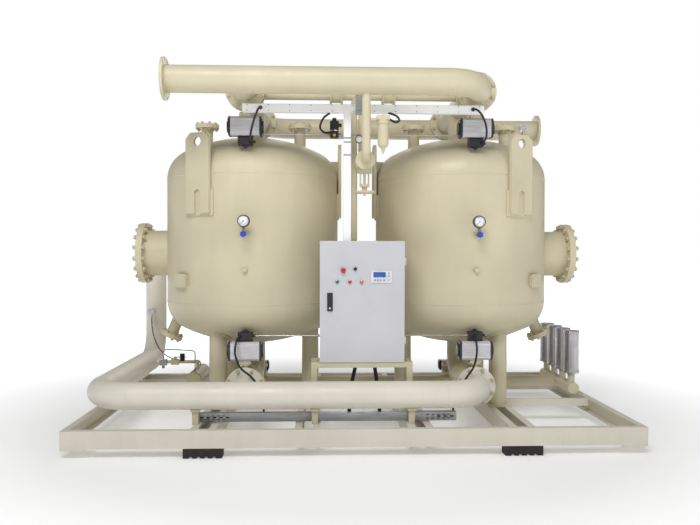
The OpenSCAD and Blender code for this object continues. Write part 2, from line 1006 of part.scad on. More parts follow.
module front_top_header() {
  bypass_place = bypass_x - tower_x(-1);
  color(cream)
    translate([tower_x(-1), -header_y, top_z])
      difference() {
        union() {
          header_line(front_reach, main_d, 0);
          header_flanges();
          translate([-front_reach, 0, 0])
            along_x()
              flange(main_f);
          translate([bypass_place, 0, 0]) {
            bypass_line(purge_d, 0);
            translate([0, bypass_elbow_r + bypass_spool, -bypass_drop])
              round_plate(purge_flange_d, purge_flange_t);
          }
        }
        header_line(front_reach, main_d - 2 * main_wall, eps);
        translate([bypass_place, 0, 0])
          bypass_line(purge_d - 2 * purge_wall, eps);
      }
}

module rear_top_header() {
  color(cream)
    translate([tower_x(1), header_y, top_z])
      rotate([0, 0, 180])
        difference() {
          union() {
            header_line(rear_reach, main_d, 0);
            header_flanges();
            translate([-rear_reach, 0, 0])
              along_x()
                flange(main_f);
          }
          header_line(rear_reach, main_d - 2 * main_wall, eps);
        }
}

// Line of the inlet: from the header's left end round to the back, then up the riser
module inlet_line(d, grown) {
  back = header_y + riser_y;
  translate([-run_reach, 0, 0]) {
    turn(d, elbow_r, [-1, 0, 0], [0, 1, 0]);
    translate([0, elbow_r, 0])
      along_y()
        cylinder(d = d, h = back - 2 * elbow_r);
    translate([0, back, 0]) {
      turn(d, elbow_r, [0, 1, 0], [0, 0, 1]);
      translate([0, 0, elbow_r])
        cylinder(d = d, h = riser_h - elbow_r + grown);
    }
  }
}

sensor_z = low_z + 505;
sensor_stub = main_d / 2 + 20;
drain_stub = main_d / 2 + 30;

module lower_header() {
  bore = main_d - 2 * main_wall;
  color(cream)
    translate([tower_x(-1), -header_y, low_z])
      difference() {
        union() {
          header_line(run_reach - elbow_r, main_d, 0);
          header_flanges();
          inlet_line(main_d, 0);
          translate([-run_reach, header_y + riser_y, riser_h])
            mirror([0, 0, 1])
              flange(main_f);
          translate([-run_reach, header_y + riser_y, sensor_z - low_z])
            rotate([90, 0, 0])
              cylinder(d = boss_d, h = sensor_stub);
          translate([-run_reach, header_y + drain_y, 0])
            along_x()
              cylinder(d = boss_d, h = drain_stub);
        }
        header_line(run_reach - elbow_r, bore, 0);
        for (x = [0, tower_spacing])
          translate([x, elbow_r + spool_l, 0])
            along_y()
              cylinder(d = bore, h = main_flange_t + eps);
        inlet_line(bore, eps);
      }
}

manifold_lo = -160;
manifold_hi = manifold_lo + 70 + (silencer_count - 1) * silencer_pitch + 90;
nipple_h = 70;
silencer_z = exhaust_z + port_d / 2 + nipple_h;
line_end = 160;

module at_silencers() {
  for (i = [0 : silencer_count - 1])
    translate([manifold_x, manifold_lo + 70 + i * silencer_pitch, 0])
      children();
}

// Line of the exhaust: along the skid, with a drop from each valve, to the manifold
module exhaust_path(d, inset, grown) {
  translate([tower_x(-1) - line_end + inset, exhaust_y, exhaust_z])
    along_x()
      cylinder(d = d, h = manifold_x - tower_x(-1) + line_end - inset);
  for (s = [-1, 1])
    translate([tower_x(s), exhaust_y, exhaust_z])
      cylinder(d = d, h = z_ex_bottom - exhaust_z + grown);
  translate([manifold_x, manifold_lo + inset, exhaust_z])
    along_y()
      cylinder(d = d, h = manifold_hi - manifold_lo - 2 * inset);
}

module exhaust_line() {
  color(cream)
    difference() {
      union() {
        exhaust_path(port_d, 0, 0);
        for (s = [-1, 1])
          translate([tower_x(s), exhaust_y, z_ex_line])
            flange(port_f);
        at_silencers()
          translate([0, 0, exhaust_z])
            cylinder(d = silencer_nipple_d, h = silencer_z - exhaust_z);
      }
      exhaust_path(port_d - 2 * port_wall, port_wall, eps);
    }
}

// A silencer: a coupling, then a drum between two rolled rims
module silencers() {
  coupling_h = 16;
  rim_h = 22;
  rim = 4;
  r = silencer_d / 2;
  coupling_r = silencer_nipple_d / 2 + 6;
  color(steel)
    at_silencers()
      translate([0, 0, silencer_z])
        rotate_extrude()
          polygon([
            [0, 0], [coupling_r, 0], [coupling_r, coupling_h], [r - rim, coupling_h], [r, coupling_h + rim],
            [r, coupling_h + rim_h], [r - rim, coupling_h + rim_h + rim], [r - rim, silencer_h - rim_h - rim],
            [r, silencer_h - rim_h], [r, silencer_h - rim], [r - rim, silencer_h], [0, silencer_h]
          ]);
}

// Switching valves, drawn round their own centre: flow along Y, neck along +Z

module at_main_valve(s, rear, top) {
  translate([tower_x(s), (rear ? 1 : -1) * y_valve, top ? top_z : low_z])
    mirror([0, 0, top ? 1 : 0])
      children();
}

module at_exhaust_valve(s) {
  translate([tower_x(s), exhaust_y, z_ex_valve])
    rotate([-90, 0, 0])
      children();
}

module at_all_main_valves() {
  for (s = [-1, 1]) {
    at_main_valve(s, false, false)
      children();
    at_main_valve(s, false, true)
      children();
    at_main_valve(s, true, true)
      children();
  }
}

module at_both_exhaust_valves() {
  for (s = [-1, 1])
    at_exhaust_valve(s)
      children();
}

// Levels along a valve's stem
trunnion = 14;
function bracket_z(v) = v[3];
function act_z(v) = v[3] + v[9];
function box_z(v) = v[3] + v[9] + v[5];
function stem_top(v) = box_z(v) + v[8];

module stem_hole(v) {
  translate([0, 0, -v[0] / 2 - trunnion - clear])
    cylinder(d = stem_d + 2 * clear, h = stem_top(v) + v[0] / 2 + trunnion + clear + eps);
}

module valve_body(v) {
  difference() {
    union() {
      translate([0, -v[1] / 2, 0])
        round_plate(v[2], v[1]);
      cylinder(d = v[10], h = v[3]);
      translate([0, 0, v[3] - neck_pad_t])
        cylinder(d = neck_pad_d, h = neck_pad_t);
    }
    translate([0, -neck_pad_d, 0])
      round_plate(v[0], 2 * neck_pad_d);
    stem_hole(v);
  }
}

module valve_bodies() {
  color(cream) {
    at_all_main_valves()
      valve_body(main_v);
    at_both_exhaust_valves()
      valve_body(exhaust_v);
  }
}

module valve_studs() {
  color(steel) {
    for (s = [-1, 1]) {
      for (place = [[-1, low_z], [-1, top_z], [1, top_z]])
        translate([tower_x(s), place[0] * y_valve, place[1]])
          rotate([90, 0, 0])
            on_bolt_circle(main_f)
              translate([0, 0, -valve_l / 2 - main_flange_t])
                stud(main_stud_d, valve_l + 2 * main_flange_t);
      translate([tower_x(s), exhaust_y, z_ex_line])
        on_bolt_circle(port_f)
          stud(port_bolt_d, exhaust_valve_l + 2 * port_flange_t);
    }
  }
}

// Disc with its stem, closed, and the pointer on the stem's end
module valve_disc(v) {
  color(steel) {
    translate([0, -disc_t / 2, 0])
      round_plate(v[0] - 2, disc_t);
    translate([0, 0, -v[0] / 2 - trunnion])
      cylinder(d = stem_d, h = stem_top(v) + v[0] / 2 + trunnion + clear + indicator_t);
    translate([0, 0, stem_top(v) + clear])
      difference() {
        cylinder(d = 2 * stem_d, h = indicator_t);
        translate([0, 0, indicator_t - 2])
          block(5, 2 * stem_d + eps, 3);
      }
  }
}

module left_inlet_disc() {
  at_main_valve(-1, false, false)
    valve_disc(main_v);
}

module right_inlet_disc() {
  at_main_valve(1, false, false)
    valve_disc(main_v);
}

module left_outlet_disc() {
  at_main_valve(-1, false, true)
    valve_disc(main_v);
}

module right_outlet_disc() {
  at_main_valve(1, false, true)
    valve_disc(main_v);
}

module left_regen_disc() {
  at_main_valve(-1, true, true)
    valve_disc(main_v);
}

module right_regen_disc() {
  at_main_valve(1, true, true)
    valve_disc(main_v);
}

module left_exhaust_disc() {
  at_exhaust_valve(-1)
    valve_disc(exhaust_v);
}

module right_exhaust_disc() {
  at_exhaust_valve(1)
    valve_disc(exhaust_v);
}

// Section of the extruded actuator: chamfered corners and long grooves in its front and back
module actuator_section(h, w) {
  c = h / 9;
  groove = h / 28;
  difference() {
    polygon([
      [-w / 2 + c, 0], [w / 2 - c, 0], [w / 2, c], [w / 2, h - c], [w / 2 - c, h],
      [-w / 2 + c, h], [-w / 2, h - c], [-w / 2, c]
    ]);
    for (side = [-1, 1])
      for (k = [2 : 6])
        translate([side * w / 2 - groove / 2, k * h / 8 - groove / 2])
          square(groove);
  }
}

// Puts a section (across, up) into the YZ plane and draws it along X, centred
module along_actuator(l) {
  translate([-l / 2, 0, 0])
    rotate([90, 0, 90])
      linear_extrude(l)
        children();
}

module actuator_body(v) {
  difference() {
    translate([0, 0, act_z(v)])
      along_actuator(v[4] - 2 * v[7])
        actuator_section(v[5], v[6]);
    stem_hole(v);
  }
}

module actuator_bodies() {
  color(silver) {
    at_all_main_valves()
      actuator_body(main_v);
    at_both_exhaust_valves()
      actuator_body(exhaust_v);
  }
}

// Share of an end cap's length that its plate takes
cap_plate = 0.55;

// An end cap: a chamfered plate with a raised middle and four cap screws
module actuator_cap(v) {
  h = v[5];
  w = v[6];
  base = cap_plate * v[7];
  c = h / 9;
  translate([v[4] / 2 - v[7], 0, act_z(v)])
    rotate([90, 0, 90]) {
      linear_extrude(base)
        polygon([
          [-w / 2 + c, 0], [w / 2 - c, 0], [w / 2, c], [w / 2, h - c], [w / 2 - c, h],
          [-w / 2 + c, h], [-w / 2, h - c], [-w / 2, c]
        ]);
      translate([0, h / 2, 0])
        cylinder(d = 0.72 * min(h, w), h = v[7]);
      for (y = [-1, 1])
        for (z = [0.17, 0.83])
          translate([y * 0.36 * w, z * h, 0])
            cylinder(d = h / 9, h = base + h / 24);
    }
}

module actuator_end_caps() {
  color(black) {
    at_all_main_valves()
      for (m = [0, 1])
        mirror([m, 0, 0])
          actuator_cap(main_v);
    at_both_exhaust_valves()
      for (m = [0, 1])
        mirror([m, 0, 0])
          actuator_cap(exhaust_v);
  }
}

// A bracket folded from plate, open along X, between the neck and the actuator
module actuator_bracket(v) {
  plate = 6;
  depth = 0.62 * v[6];
  difference() {
    translate([0, 0, bracket_z(v)])
      block(0.32 * v[4], depth, v[9]);
    translate([0, 0, bracket_z(v) + plate])
      block(v[4], depth - 2 * plate, v[9] - 2 * plate);
    stem_hole(v);
  }
}

module actuator_brackets() {
  color(cream) {
    at_all_main_valves()
      actuator_bracket(main_v);
    at_both_exhaust_valves()
      actuator_bracket(exhaust_v);
  }
}

// An indicator box on an actuator: a foot, a case and a cable gland
module indicator_box(v) {
  foot = 0.2 * v[8];
  case_w = 0.62 * v[6];
  difference() {
    union() {
      translate([0, 0, box_z(v)])
        block(0.42 * v[4], 0.4 * v[6], foot);
      translate([0, 0, box_z(v) + foot])
        block(0.4 * v[4], case_w, v[8] - foot);
      translate([0.2 * v[4], 0, box_z(v) + foot + 0.4 * v[8]])
        along_x()
          cylinder(d = 0.3 * v[8], h = 0.08 * v[4]);
    }
    stem_hole(v);
  }
}

module indicator_boxes() {
  color(black) {
    at_all_main_valves()
      indicator_box(main_v);
    at_both_exhaust_valves()
      indicator_box(exhaust_v);
  }
}

// Purge line and bypass

module purge_line_path(d, grown) {
  r = bypass_elbow_r;
  straight = y_globe_back - purge_flange_t - cross_y - r;
  translate([tower_x(-1) + cross_stub - grown, -cross_y, top_z])
    along_x()
      cylinder(d = d, h = tower_spacing - 2 * cross_stub + 2 * grown);
  translate([bypass_x, -cross_y, bypass_z + r])
    cylinder(d = d, h = bypass_drop - r);
  translate([bypass_x, -cross_y, bypass_z])
    turn(d, r, [0, 1, 0], [0, 0, 1]);
  translate([bypass_x, -cross_y - r - straight - purge_flange_t - grown, bypass_z])
    along_y()
      cylinder(d = d, h = straight + purge_flange_t + grown);
}

// A check valve along X, drawn round its centre: a body between two flanges
module check_valve() {
  body_d = 0.72 * purge_flange_d;
  for (x = [-check_l / 2 - purge_flange_t, check_l / 2])
    translate([x, 0, 0])
      along_x()
        cylinder(d = purge_flange_d, h = purge_flange_t);
  translate([-check_l / 2 - eps, 0, 0])
    along_x()
      cylinder(d = body_d, h = check_l + 2 * eps);
}

module purge_line() {
  color(cream)
    difference() {
      union() {
        purge_line_path(purge_d, 0);
        for (s = [-1, 1])
          translate([bypass_x + s * check_off, -cross_y, top_z])
            check_valve();
        translate([bypass_x, -y_globe_back, bypass_z])
          round_plate(purge_flange_d, purge_flange_t);
      }
      purge_line_path(purge_d - 2 * purge_wall, eps);
    }
}

globe_ball = 130;
bonnet_d = 120;
bonnet_z = 84;
yoke_top = 214;
globe_stem_d = 22;

// Globe valve with its bonnet hanging down, drawn with the bonnet along +Z
module globe_valve_body() {
  color(cream)
    translate([bypass_x, -y_globe, bypass_z])
      mirror([0, 0, 1])
        difference() {
          union() {
            for (y = [-globe_l / 2, globe_l / 2 - purge_flange_t])
              translate([0, y, 0])
                round_plate(purge_flange_d, purge_flange_t);
            translate([0, -globe_l / 2, 0])
              round_plate(purge_d + 12, globe_l);
            sphere(d = globe_ball);
            cylinder(d = 90, h = bonnet_z);
            translate([0, 0, bonnet_z - 16])
              cylinder(d = bonnet_d, h = 32);
            for (x = [-1, 1])
              translate([x * 34, 0, bonnet_z])
                block(12, 26, yoke_top - bonnet_z);
            translate([0, 0, yoke_top - 22])
              cylinder(d = 84, h = 22);
          }
          translate([0, -globe_l, 0])
            round_plate(purge_d - 2 * purge_wall, 2 * globe_l);
          cylinder(d = globe_stem_d + 2 * clear, h = yoke_top + eps);
        }
}

module globe_handwheel() {
  rim = 16;
  hub = 44;
  color([0.16, 0.16, 0.17])
    translate([bypass_x, -y_globe, bypass_z])
      mirror([0, 0, 1]) {
        translate([0, 0, bonnet_z - 30])
          cylinder(d = globe_stem_d, h = wheel_drop - bonnet_z + 60);
        translate([0, 0, yoke_top + clear])
          cylinder(d = hub, h = wheel_drop - yoke_top + rim / 2);
        translate([0, 0, wheel_drop])
          rotate_extrude()
            translate([wheel_d / 2 - rim / 2, 0])
              circle(d = rim);
        for (a = [0 : 120 : 240])
          rotate([0, 0, a])
            translate([0, 0, wheel_drop])
              along_x()
                cylinder(d = 0.7 * rim, h = wheel_d / 2 - rim / 2);
      }
}

bowl_d = 88;
bowl_h = 190;
head_block_h = 64;

module air_filter() {
  color(cream)
    translate([filter_x, -header_y, filter_z]) {
      block(filter_head_w, 92, head_block_h / 2);
      translate([0, 0, -head_block_h / 2])
        cylinder(d = bowl_d + 10, h = head_block_h / 2);
      translate([bypass_x - filter_x + purge_d / 2, 0, 6])
        along_x()
          cylinder(d = nipple_d, h = filter_x - bypass_x - purge_d / 2 - filter_head_w / 2);
      translate([0, 0, head_block_h / 2])
        cylinder(d = 40, h = 10, $fn = 6);
    }
}

module filter_bowl() {
  color(cream)
    translate([filter_x, -header_y, filter_z - head_block_h / 2 - bowl_h])
      rotate_extrude()
        polygon([
          [0, -46], [7, -46], [7, -30], [14, -28], [14, -8], [24, 0], [bowl_d / 2 - 14, 6], [bowl_d / 2 - 4, 18],
          [bowl_d / 2, 34], [bowl_d / 2, bowl_h], [0, bowl_h]
        ]);
}

tube_d = 12;
tube_nut = 22;

// A straight tube along X between two stations, with a nut at each end
module air_tube(x0, x1, y, z) {
  translate([x0, y, z])
    along_x()
      cylinder(d = tube_d, h = x1 - x0);
  for (x = [x0, x1 - tube_nut])
    translate([x, y, z])
      along_x()
        cylinder(d = tube_nut, h = tube_nut, $fn = 6);
}

module control_air_tubes() {
  cap_face = act_l / 2 - (1 - cap_plate) * act_cap;
  upper_z = top_z - act_z(main_v) - 0.88 * act_h;
  box_mid = low_z + box_z(main_v) + 0.6 * box_h;
  gland_end = 0.28 * act_l;
  box_end = 0.2 * act_l;
  color(silver) {
    air_tube(tower_x(-1) + cap_face, tower_x(1) - cap_face, -y_valve, upper_z);
    air_tube(tower_x(-1) + gland_end, cab_left, -y_valve, box_mid);
    air_tube(cab_left + cab_w, tower_x(1) - box_end, -y_valve, box_mid);
  }
}

// Instruments

gauge_y = tower_d / 2 + gauge_out;
gauge_t = 42;

module gauge() {
  rotate([90, 0, 0]) {
    difference() {
      cylinder(d = gauge_d, h = gauge_t, center = true);
      translate([0, 0, gauge_t / 2 - 5])
        cylinder(d = gauge_d - 10, h = 6);
    }
    translate([0, 0, -gauge_t / 2])
      cylinder(d = gauge_d + 6, h = 6);
  }
  translate([0, 0, -gauge_d / 2 - 8])
    cylinder(d = 18, h = 12);
}

module pressure_gauges() {
  color(silver)
    for (s = [-1, 1])
      translate([tower_x(s), -gauge_y, gauge_z])
        gauge();
}

cock_bore = 10;

module gauge_cocks() {
  top = gauge_z - gauge_d / 2 - 8;
  color([0.72, 0.60, 0.35])
    for (s = [-1, 1])
      translate([tower_x(s), 0, cock_z])
        difference() {
          union() {
            translate([0, -tower_d / 2 - boss_out, 0])
              rotate([90, 0, 0])
                cylinder(d = 24, h = gauge_out - boss_out + 18);
            translate([0, -gauge_y, 0])
              cylinder(d = 20, h = top - cock_z);
            translate([0, -gauge_y, top - cock_z - 16])
              cylinder(d = 28, h = 16, $fn = 6);
          }
          translate([0, -gauge_y - 18 - eps, 0])
            along_y()
              cylinder(d = cock_bore + 2 * clear, h = 16);
        }
}

// Round handle with finger scallops, on a stem in the cock
module cock_handle(s) {
  color([0.10, 0.28, 0.72])
    translate([tower_x(s), -gauge_y - 18, cock_z])
      rotate([90, 0, 0]) {
        translate([0, 0, -14])
          cylinder(d = cock_bore, h = 20);
        translate([0, 0, clear])
          difference() {
            cylinder(d = cock_d, h = 16);
            for (i = [0 : 5])
              rotate([0, 0, i * 60])
                translate([0.58 * cock_d, 0, -eps])
                  cylinder(d = 0.34 * cock_d, h = 20);
          }
      }
}

module left_cock_handle() {
  cock_handle(-1);
}

module right_cock_handle() {
  cock_handle(1);
}

// Cable ways

trunk_y = header_y - main_d / 2 - 100;
trunk_z = top_z - main_d / 2 - 36 - trunk_h;
trunk_x0 = tower_x(-1) - 10;
trunk_x1 = tower_x(1) + 35;
riser_x = cab_x - 123;
lid_t = 3;
lid_lip = 4;

module cable_trunking() {
  cab_top = cab_bottom + cab_h;
  color(white) {
    translate([trunk_x0, -trunk_y, trunk_z])
      cube([trunk_x1 - trunk_x0, trunk_w, trunk_h]);
    translate([trunk_x0, -trunk_y - lid_t, trunk_z + lid_lip])
      cube([trunk_x1 - trunk_x0, lid_t + eps, trunk_h - 2 * lid_lip]);
    translate([riser_x - trunk_w / 2, -trunk_y, cab_top])
      cube([trunk_w, trunk_w, trunk_z - cab_top + eps]);
    translate([riser_x - trunk_w / 2 + lid_lip, -trunk_y - lid_t, cab_top])
      cube([trunk_w - 2 * lid_lip, lid_t + eps, trunk_z - cab_top + lid_lip + eps]);
  }
}

tray_x0 = tower_x(-1) - 380;
tray_x1 = tower_x(1) - 215;
tray_y = cab_front + 65;

module cable_tray() {
  slot_l = 26;
  slot_w = 8;
  slot_pitch = 44;
  slots = 5;
  post_w = 50;
  color([0.70, 0.72, 0.73])
    difference() {
      translate([tray_x0, -tray_y, beam_top])
        cube([tray_x1 - tray_x0, tray_w, tray_h]);
      translate([tray_x0 - eps, -tray_y + tray_t, beam_top + tray_t])
        cube([tray_x1 - tray_x0 + 2 * eps, tray_w - 2 * tray_t, tray_h - 2 * tray_t]);
      for (i = [0 : slots - 1])
        for (end = [0, 1])
          for (row = [0.3, 0.7])
            translate([
              end == 0 ? tray_x0 + post_w + i * slot_pitch : tray_x1 - post_w - slot_l - i * slot_pitch,
              -tray_y - eps, beam_top + row * tray_h - slot_w / 2
            ])
              cube([slot_l, tray_t + 2 * eps, slot_w]);
    }
}

// Cabinet

stand_y0 = -cab_front + 10;
stand_y1 = -cab_face + cab_d - 15;
stand_x0 = cab_x - stand_w / 2;

module cabinet_stand() {
  foot = 70;
  foot_t = 8;
  leg_x = [stand_x0 + stand_s / 2, stand_x0 + stand_w - stand_s / 2];
  leg_y = [stand_y0 + stand_s / 2, stand_y1 - stand_s / 2];
  color(cream) {
    difference() {
      translate([stand_x0, stand_y0, cab_bottom - stand_top_h])
        cube([stand_w, stand_y1 - stand_y0, stand_top_h]);
      translate([stand_x0 + stand_s, stand_y0 + stand_s, cab_bottom - stand_top_h - eps])
        cube([stand_w - 2 * stand_s, stand_y1 - stand_y0 - 2 * stand_s, stand_top_h + 2 * eps]);
    }
    for (x = leg_x)
      for (y = leg_y) {
        translate([x, y, beam_top])
          block(stand_s, stand_s, stand_h - stand_top_h + eps);
        translate([x, y, beam_top])
          block(foot, foot, foot_t);
      }
  }
}

hinge_d = 14;
hinge_l = 60;
hinge_x = cab_left + cab_w + hinge_d / 2;
hinge_y = -cab_front + hinge_d / 2 + 1;
hinge_zs = [cab_bottom + 0.15 * cab_h, cab_bottom + 0.8 * cab_h];
pin_d = 6;
leaf_t = 4;
leaf_l = 36;

module cabinet_body() {
  color(cabinet_grey) {
    difference() {
      translate([cab_left, -cab_face, cab_bottom])
        cube([cab_w, cab_d, cab_h]);
      translate([cab_left + sheet, -cab_face - eps, cab_bottom + sheet])
        cube([cab_w - 2 * sheet, cab_d - sheet + eps, cab_h - 2 * sheet]);
    }
    for (z = hinge_zs) {
      translate([hinge_x, hinge_y, z])
        cylinder(d = hinge_d, h = hinge_l / 2);
      translate([hinge_x, hinge_y, z + hinge_l / 2 - eps])
        cylinder(d = pin_d, h = hinge_l / 2 - 4);
      translate([cab_left + cab_w + clear, hinge_y, z])
        cube([leaf_t, door_t + leaf_l, hinge_l / 2]);
      translate([cab_left + cab_w - eps, -cab_face + eps, z])
        cube([leaf_t, leaf_l - eps, hinge_l / 2]);
    }
  }
}

// Places on the door: across from its left edge, up from its bottom
function door_x(u) = cab_left + u;
function door_z(v) = cab_bottom + v;
estop_at = [0.275 * cab_w, 0.757 * cab_h];
selector_at = [0.416 * cab_w, 0.769 * cab_h];
start_at = [0.205 * cab_w, 0.662 * cab_h];
stop_at = [0.352 * cab_w, 0.662 * cab_h];
lamp_at = [0.492 * cab_w, 0.662 * cab_h];
display_at = [0.725 * cab_w, 0.706 * cab_h];
latch_at = [0.12 * cab_w, 0.55 * cab_h];
display_w = 168;
display_h = 100;
button_hole = 22.6;
button_tube = 22;
plunger_d = 17;
bezel_d = 34;
bezel_t = 8;
bezel_floor = 2;
bezel_tube_l = 10;
cap_d = 25;
latch_l = 140;
latch_w = 34;
latch_pin_d = 16;
latch_out = 12;
device_ats = [estop_at, selector_at, start_at, stop_at];

// Places children on the door's face, +Z pointing out of it
module on_door(at) {
  translate([door_x(at[0]), -cab_front, door_z(at[1])])
    rotate([90, 0, 0])
      children();
}

module cabinet_door() {
  color(cabinet_grey) {
    difference() {
      translate([cab_left, -cab_front, cab_bottom])
        cube([cab_w, door_t, cab_h]);
      translate([cab_left + sheet, -cab_front + sheet, cab_bottom + sheet])
        cube([cab_w - 2 * sheet, door_t, cab_h - 2 * sheet]);
      for (at = concat(device_ats, [lamp_at]))
        on_door(at)
          translate([0, 0, -2 * sheet])
            cylinder(d = button_hole, h = 4 * sheet);
      on_door(latch_at)
        translate([0, 0, -2 * sheet])
          cylinder(d = latch_pin_d + 2 * clear, h = 4 * sheet);
      on_door(display_at)
        translate([0, 0, -2 * sheet])
          block(display_w - 20, display_h - 20, 4 * sheet);
    }
    for (z = hinge_zs)
      difference() {
        union() {
          translate([hinge_x, hinge_y, z + hinge_l / 2 + clear])
            cylinder(d = hinge_d, h = hinge_l / 2);
          translate([cab_left + cab_w - eps, -cab_front, z + hinge_l / 2 + clear])
            cube([hinge_d / 2 + eps, hinge_d / 2, hinge_l / 2]);
        }
        translate([hinge_x, hinge_y, z])
          cylinder(d = pin_d + 2 * clear, h = 2 * hinge_l);
      }
  }
}

// A fixed bezel with its tube through the door and its contact block behind
module button_bezel() {
  block_l = 46;
  difference() {
    union() {
      cylinder(d = bezel_d, h = bezel_t);
      translate([0, 0, -sheet - bezel_tube_l])
        cylinder(d = button_tube, h = sheet + bezel_tube_l + eps);
      translate([0, 0, -sheet - bezel_tube_l - block_l])
        block(38, 30, block_l);
    }
    translate([0, 0, -sheet - bezel_tube_l])
      cylinder(d = plunger_d + 2 * clear, h = sheet + bezel_tube_l + bezel_t);
    translate([0, 0, bezel_floor])
      cylinder(d = cap_d + 2 * clear, h = bezel_t);
  }
}

module panel_fittings() {
  color([0.30, 0.31, 0.32]) {
    for (at = device_ats)
      on_door(at)
        button_bezel();
    on_door(lamp_at) {
      cylinder(d = bezel_d, h = bezel_t);
      translate([0, 0, bezel_t])
        cylinder(d1 = cap_d, d2 = cap_d - 6, h = 10);
      translate([0, 0, -sheet - 30])
        cylinder(d = button_tube, h = sheet + 30 + eps);
    }
    on_door(display_at) {
      block(display_w, display_h, 8);
      translate([0, 0, -sheet - 40])
        block(display_w - 22, display_h - 22, sheet + 40 + eps);
    }
    on_door(latch_at)
      difference() {
        translate([0, -latch_l / 2 + latch_w / 2, 0])
          block(latch_w + 10, latch_l + 10, 4);
        translate([0, 0, -eps])
          cylinder(d = latch_pin_d + 2 * clear, h = 8);
      }
  }
}

button_travel = 3;
cap_gap = button_travel + clear;

module push_button() {
  cap_top = bezel_t + 3;
  translate([0, 0, bezel_floor + cap_gap])
    cylinder(d = cap_d, h = cap_top - bezel_floor - cap_gap);
  translate([0, 0, cap_gap - sheet - bezel_tube_l])
    cylinder(d = plunger_d, h = sheet + bezel_tube_l + bezel_floor + eps);
}

module start_button() {
  color([0.10, 0.55, 0.22])
    on_door(start_at)
      push_button();
}

module stop_button() {
  color([0.75, 0.10, 0.08])
    on_door(stop_at)
      push_button();
}

module estop_button() {
  head_d = 42;
  color([0.80, 0.08, 0.06])
    on_door(estop_at) {
      push_button();
      translate([0, 0, bezel_t + cap_gap])
        rotate_extrude()
          polygon([[0, -eps], [cap_d / 2, -eps], [cap_d / 2, 0], [head_d / 2 - 3, 3], [head_d / 2, 8],
            [head_d / 2 - 2, 14], [head_d / 2 - 8, 18], [0, 20]]);
    }
}

module selector_knob() {
  color(black)
    on_door(selector_at) {
      translate([0, 0, bezel_floor + clear])
        cylinder(d = cap_d, h = bezel_t - bezel_floor + 4);
      translate([0, 0, clear - sheet - bezel_tube_l])
        cylinder(d = plunger_d, h = sheet + bezel_tube_l + bezel_floor + eps);
      translate([0, 0, bezel_t + 3])
        block(9, cap_d - 2, 14);
    }
}

// Lever of the door latch, hanging from its pin, with the cam behind the door
module door_handle() {
  cam_l = 30;
  color(black)
    on_door(latch_at) {
      translate([0, -latch_l + latch_w, 4 + clear])
        difference() {
          translate([0, latch_l / 2 - latch_w / 2, 0])
            block(latch_w, latch_l, latch_out);
          translate([0, 2, latch_out - 4])
            cylinder(d = 18, h = 5);
        }
      translate([0, 0, -door_t + 6])
        cylinder(d = latch_pin_d, h = door_t);
      translate([-cam_l / 2, 0, -door_t + 6])
        block(cam_l, 18, 6);
    }
}

gear_back = -cab_face + cab_d - sheet;
gear_margin = 65;

// Mounting plate on standoffs, with rows of devices on rails
module control_gear() {
  plate_t = 3;
  standoff = 20;
  plate_w = cab_w - 2 * gear_margin;
  plate_h = cab_h - 2 * gear_margin;
  rail_zs = [0.28, 0.52, 0.76];
  rail_t = 8;
  rail_h = 36;
  rail_inset = 30;
  device_n = 6;
  pitch = (plate_w - 2 * rail_inset) / device_n;
  device = [0.75 * pitch, 70, 0.096 * cab_h];
  face = gear_back - standoff - plate_t;
  color([0.82, 0.80, 0.72]) {
    translate([cab_x - plate_w / 2, face, cab_bottom + gear_margin])
      cube([plate_w, plate_t, plate_h]);
    for (x = [-1, 1])
      for (z = [0.12, 0.88])
        translate([cab_x + x * (plate_w / 2 - rail_inset), gear_back - standoff - eps, cab_bottom + z * cab_h])
          along_y()
            cylinder(d = 14, h = standoff + eps);
    for (z = rail_zs) {
      translate([cab_x - plate_w / 2 + rail_inset, face - rail_t, cab_bottom + z * cab_h])
        cube([plate_w - 2 * rail_inset, rail_t + eps, rail_h]);
      for (i = [0 : device_n - 1])
        translate([
          cab_x - plate_w / 2 + rail_inset + (i + 0.5) * pitch - device[0] / 2, face - rail_t - device[1],
          cab_bottom + z * cab_h + (rail_h - device[2]) / 2
        ])
          cube([device[0], device[1] + eps, device[2]]);
    }
  }
}

// Drain and sensor on the inlet

pot_cap = 12;
drain_body_x = (run_x + drain_stub + pot_x - pot_d / 2) / 2;
drain_pipe_d = 34;

module drain_pot() {
  color(cream) {
    translate([pot_x, pot_y, pot_z])
      along_y() {
        translate([0, 0, pot_cap])
          cylinder(d = pot_d, h = pot_l - 2 * pot_cap);
        cylinder(d1 = pot_d - 2 * pot_cap, d2 = pot_d, h = pot_cap);
        translate([0, 0, pot_l - pot_cap])
          cylinder(d1 = pot_d, d2 = pot_d - 2 * pot_cap, h = pot_cap);
      }
    translate([run_x + drain_stub, drain_y, low_z])
      along_x()
        cylinder(d = drain_pipe_d, h = pot_x - run_x - drain_stub);
    translate([pot_x, drain_y, low_z])
      sphere(d = drain_pipe_d + 10);
    translate([pot_x, drain_y, pot_z])
      cylinder(d = drain_pipe_d, h = low_z - pot_z);
    translate([pot_x, cable_route[len(cable_route) - 1][1], pot_z])
      cylinder(d = 2 * cable_d, h = cable_route[len(cable_route) - 1][2] - pot_z);
    difference() {
      translate([drain_body_x, drain_y, low_z])
        union() {
          translate([-40, 0, 0])
            along_x()
              cylinder(d = 64, h = 80, $fn = 6);
          cylinder(d = 34, h = 46);
        }
      translate([drain_body_x, drain_y, low_z + 20])
        cylinder(d = 12 + 2 * clear, h = 40);
    }
  }
}

module drain_lever() {
  lever_l = 130;
  color([0.85, 0.70, 0.10])
    translate([drain_body_x, drain_y, low_z + 46]) {
      translate([0, 0, -20])
        cylinder(d = 12, h = 30);
      translate([lever_l / 2 - 14, 0, clear])
        block(lever_l, 24, 6);
    }
}

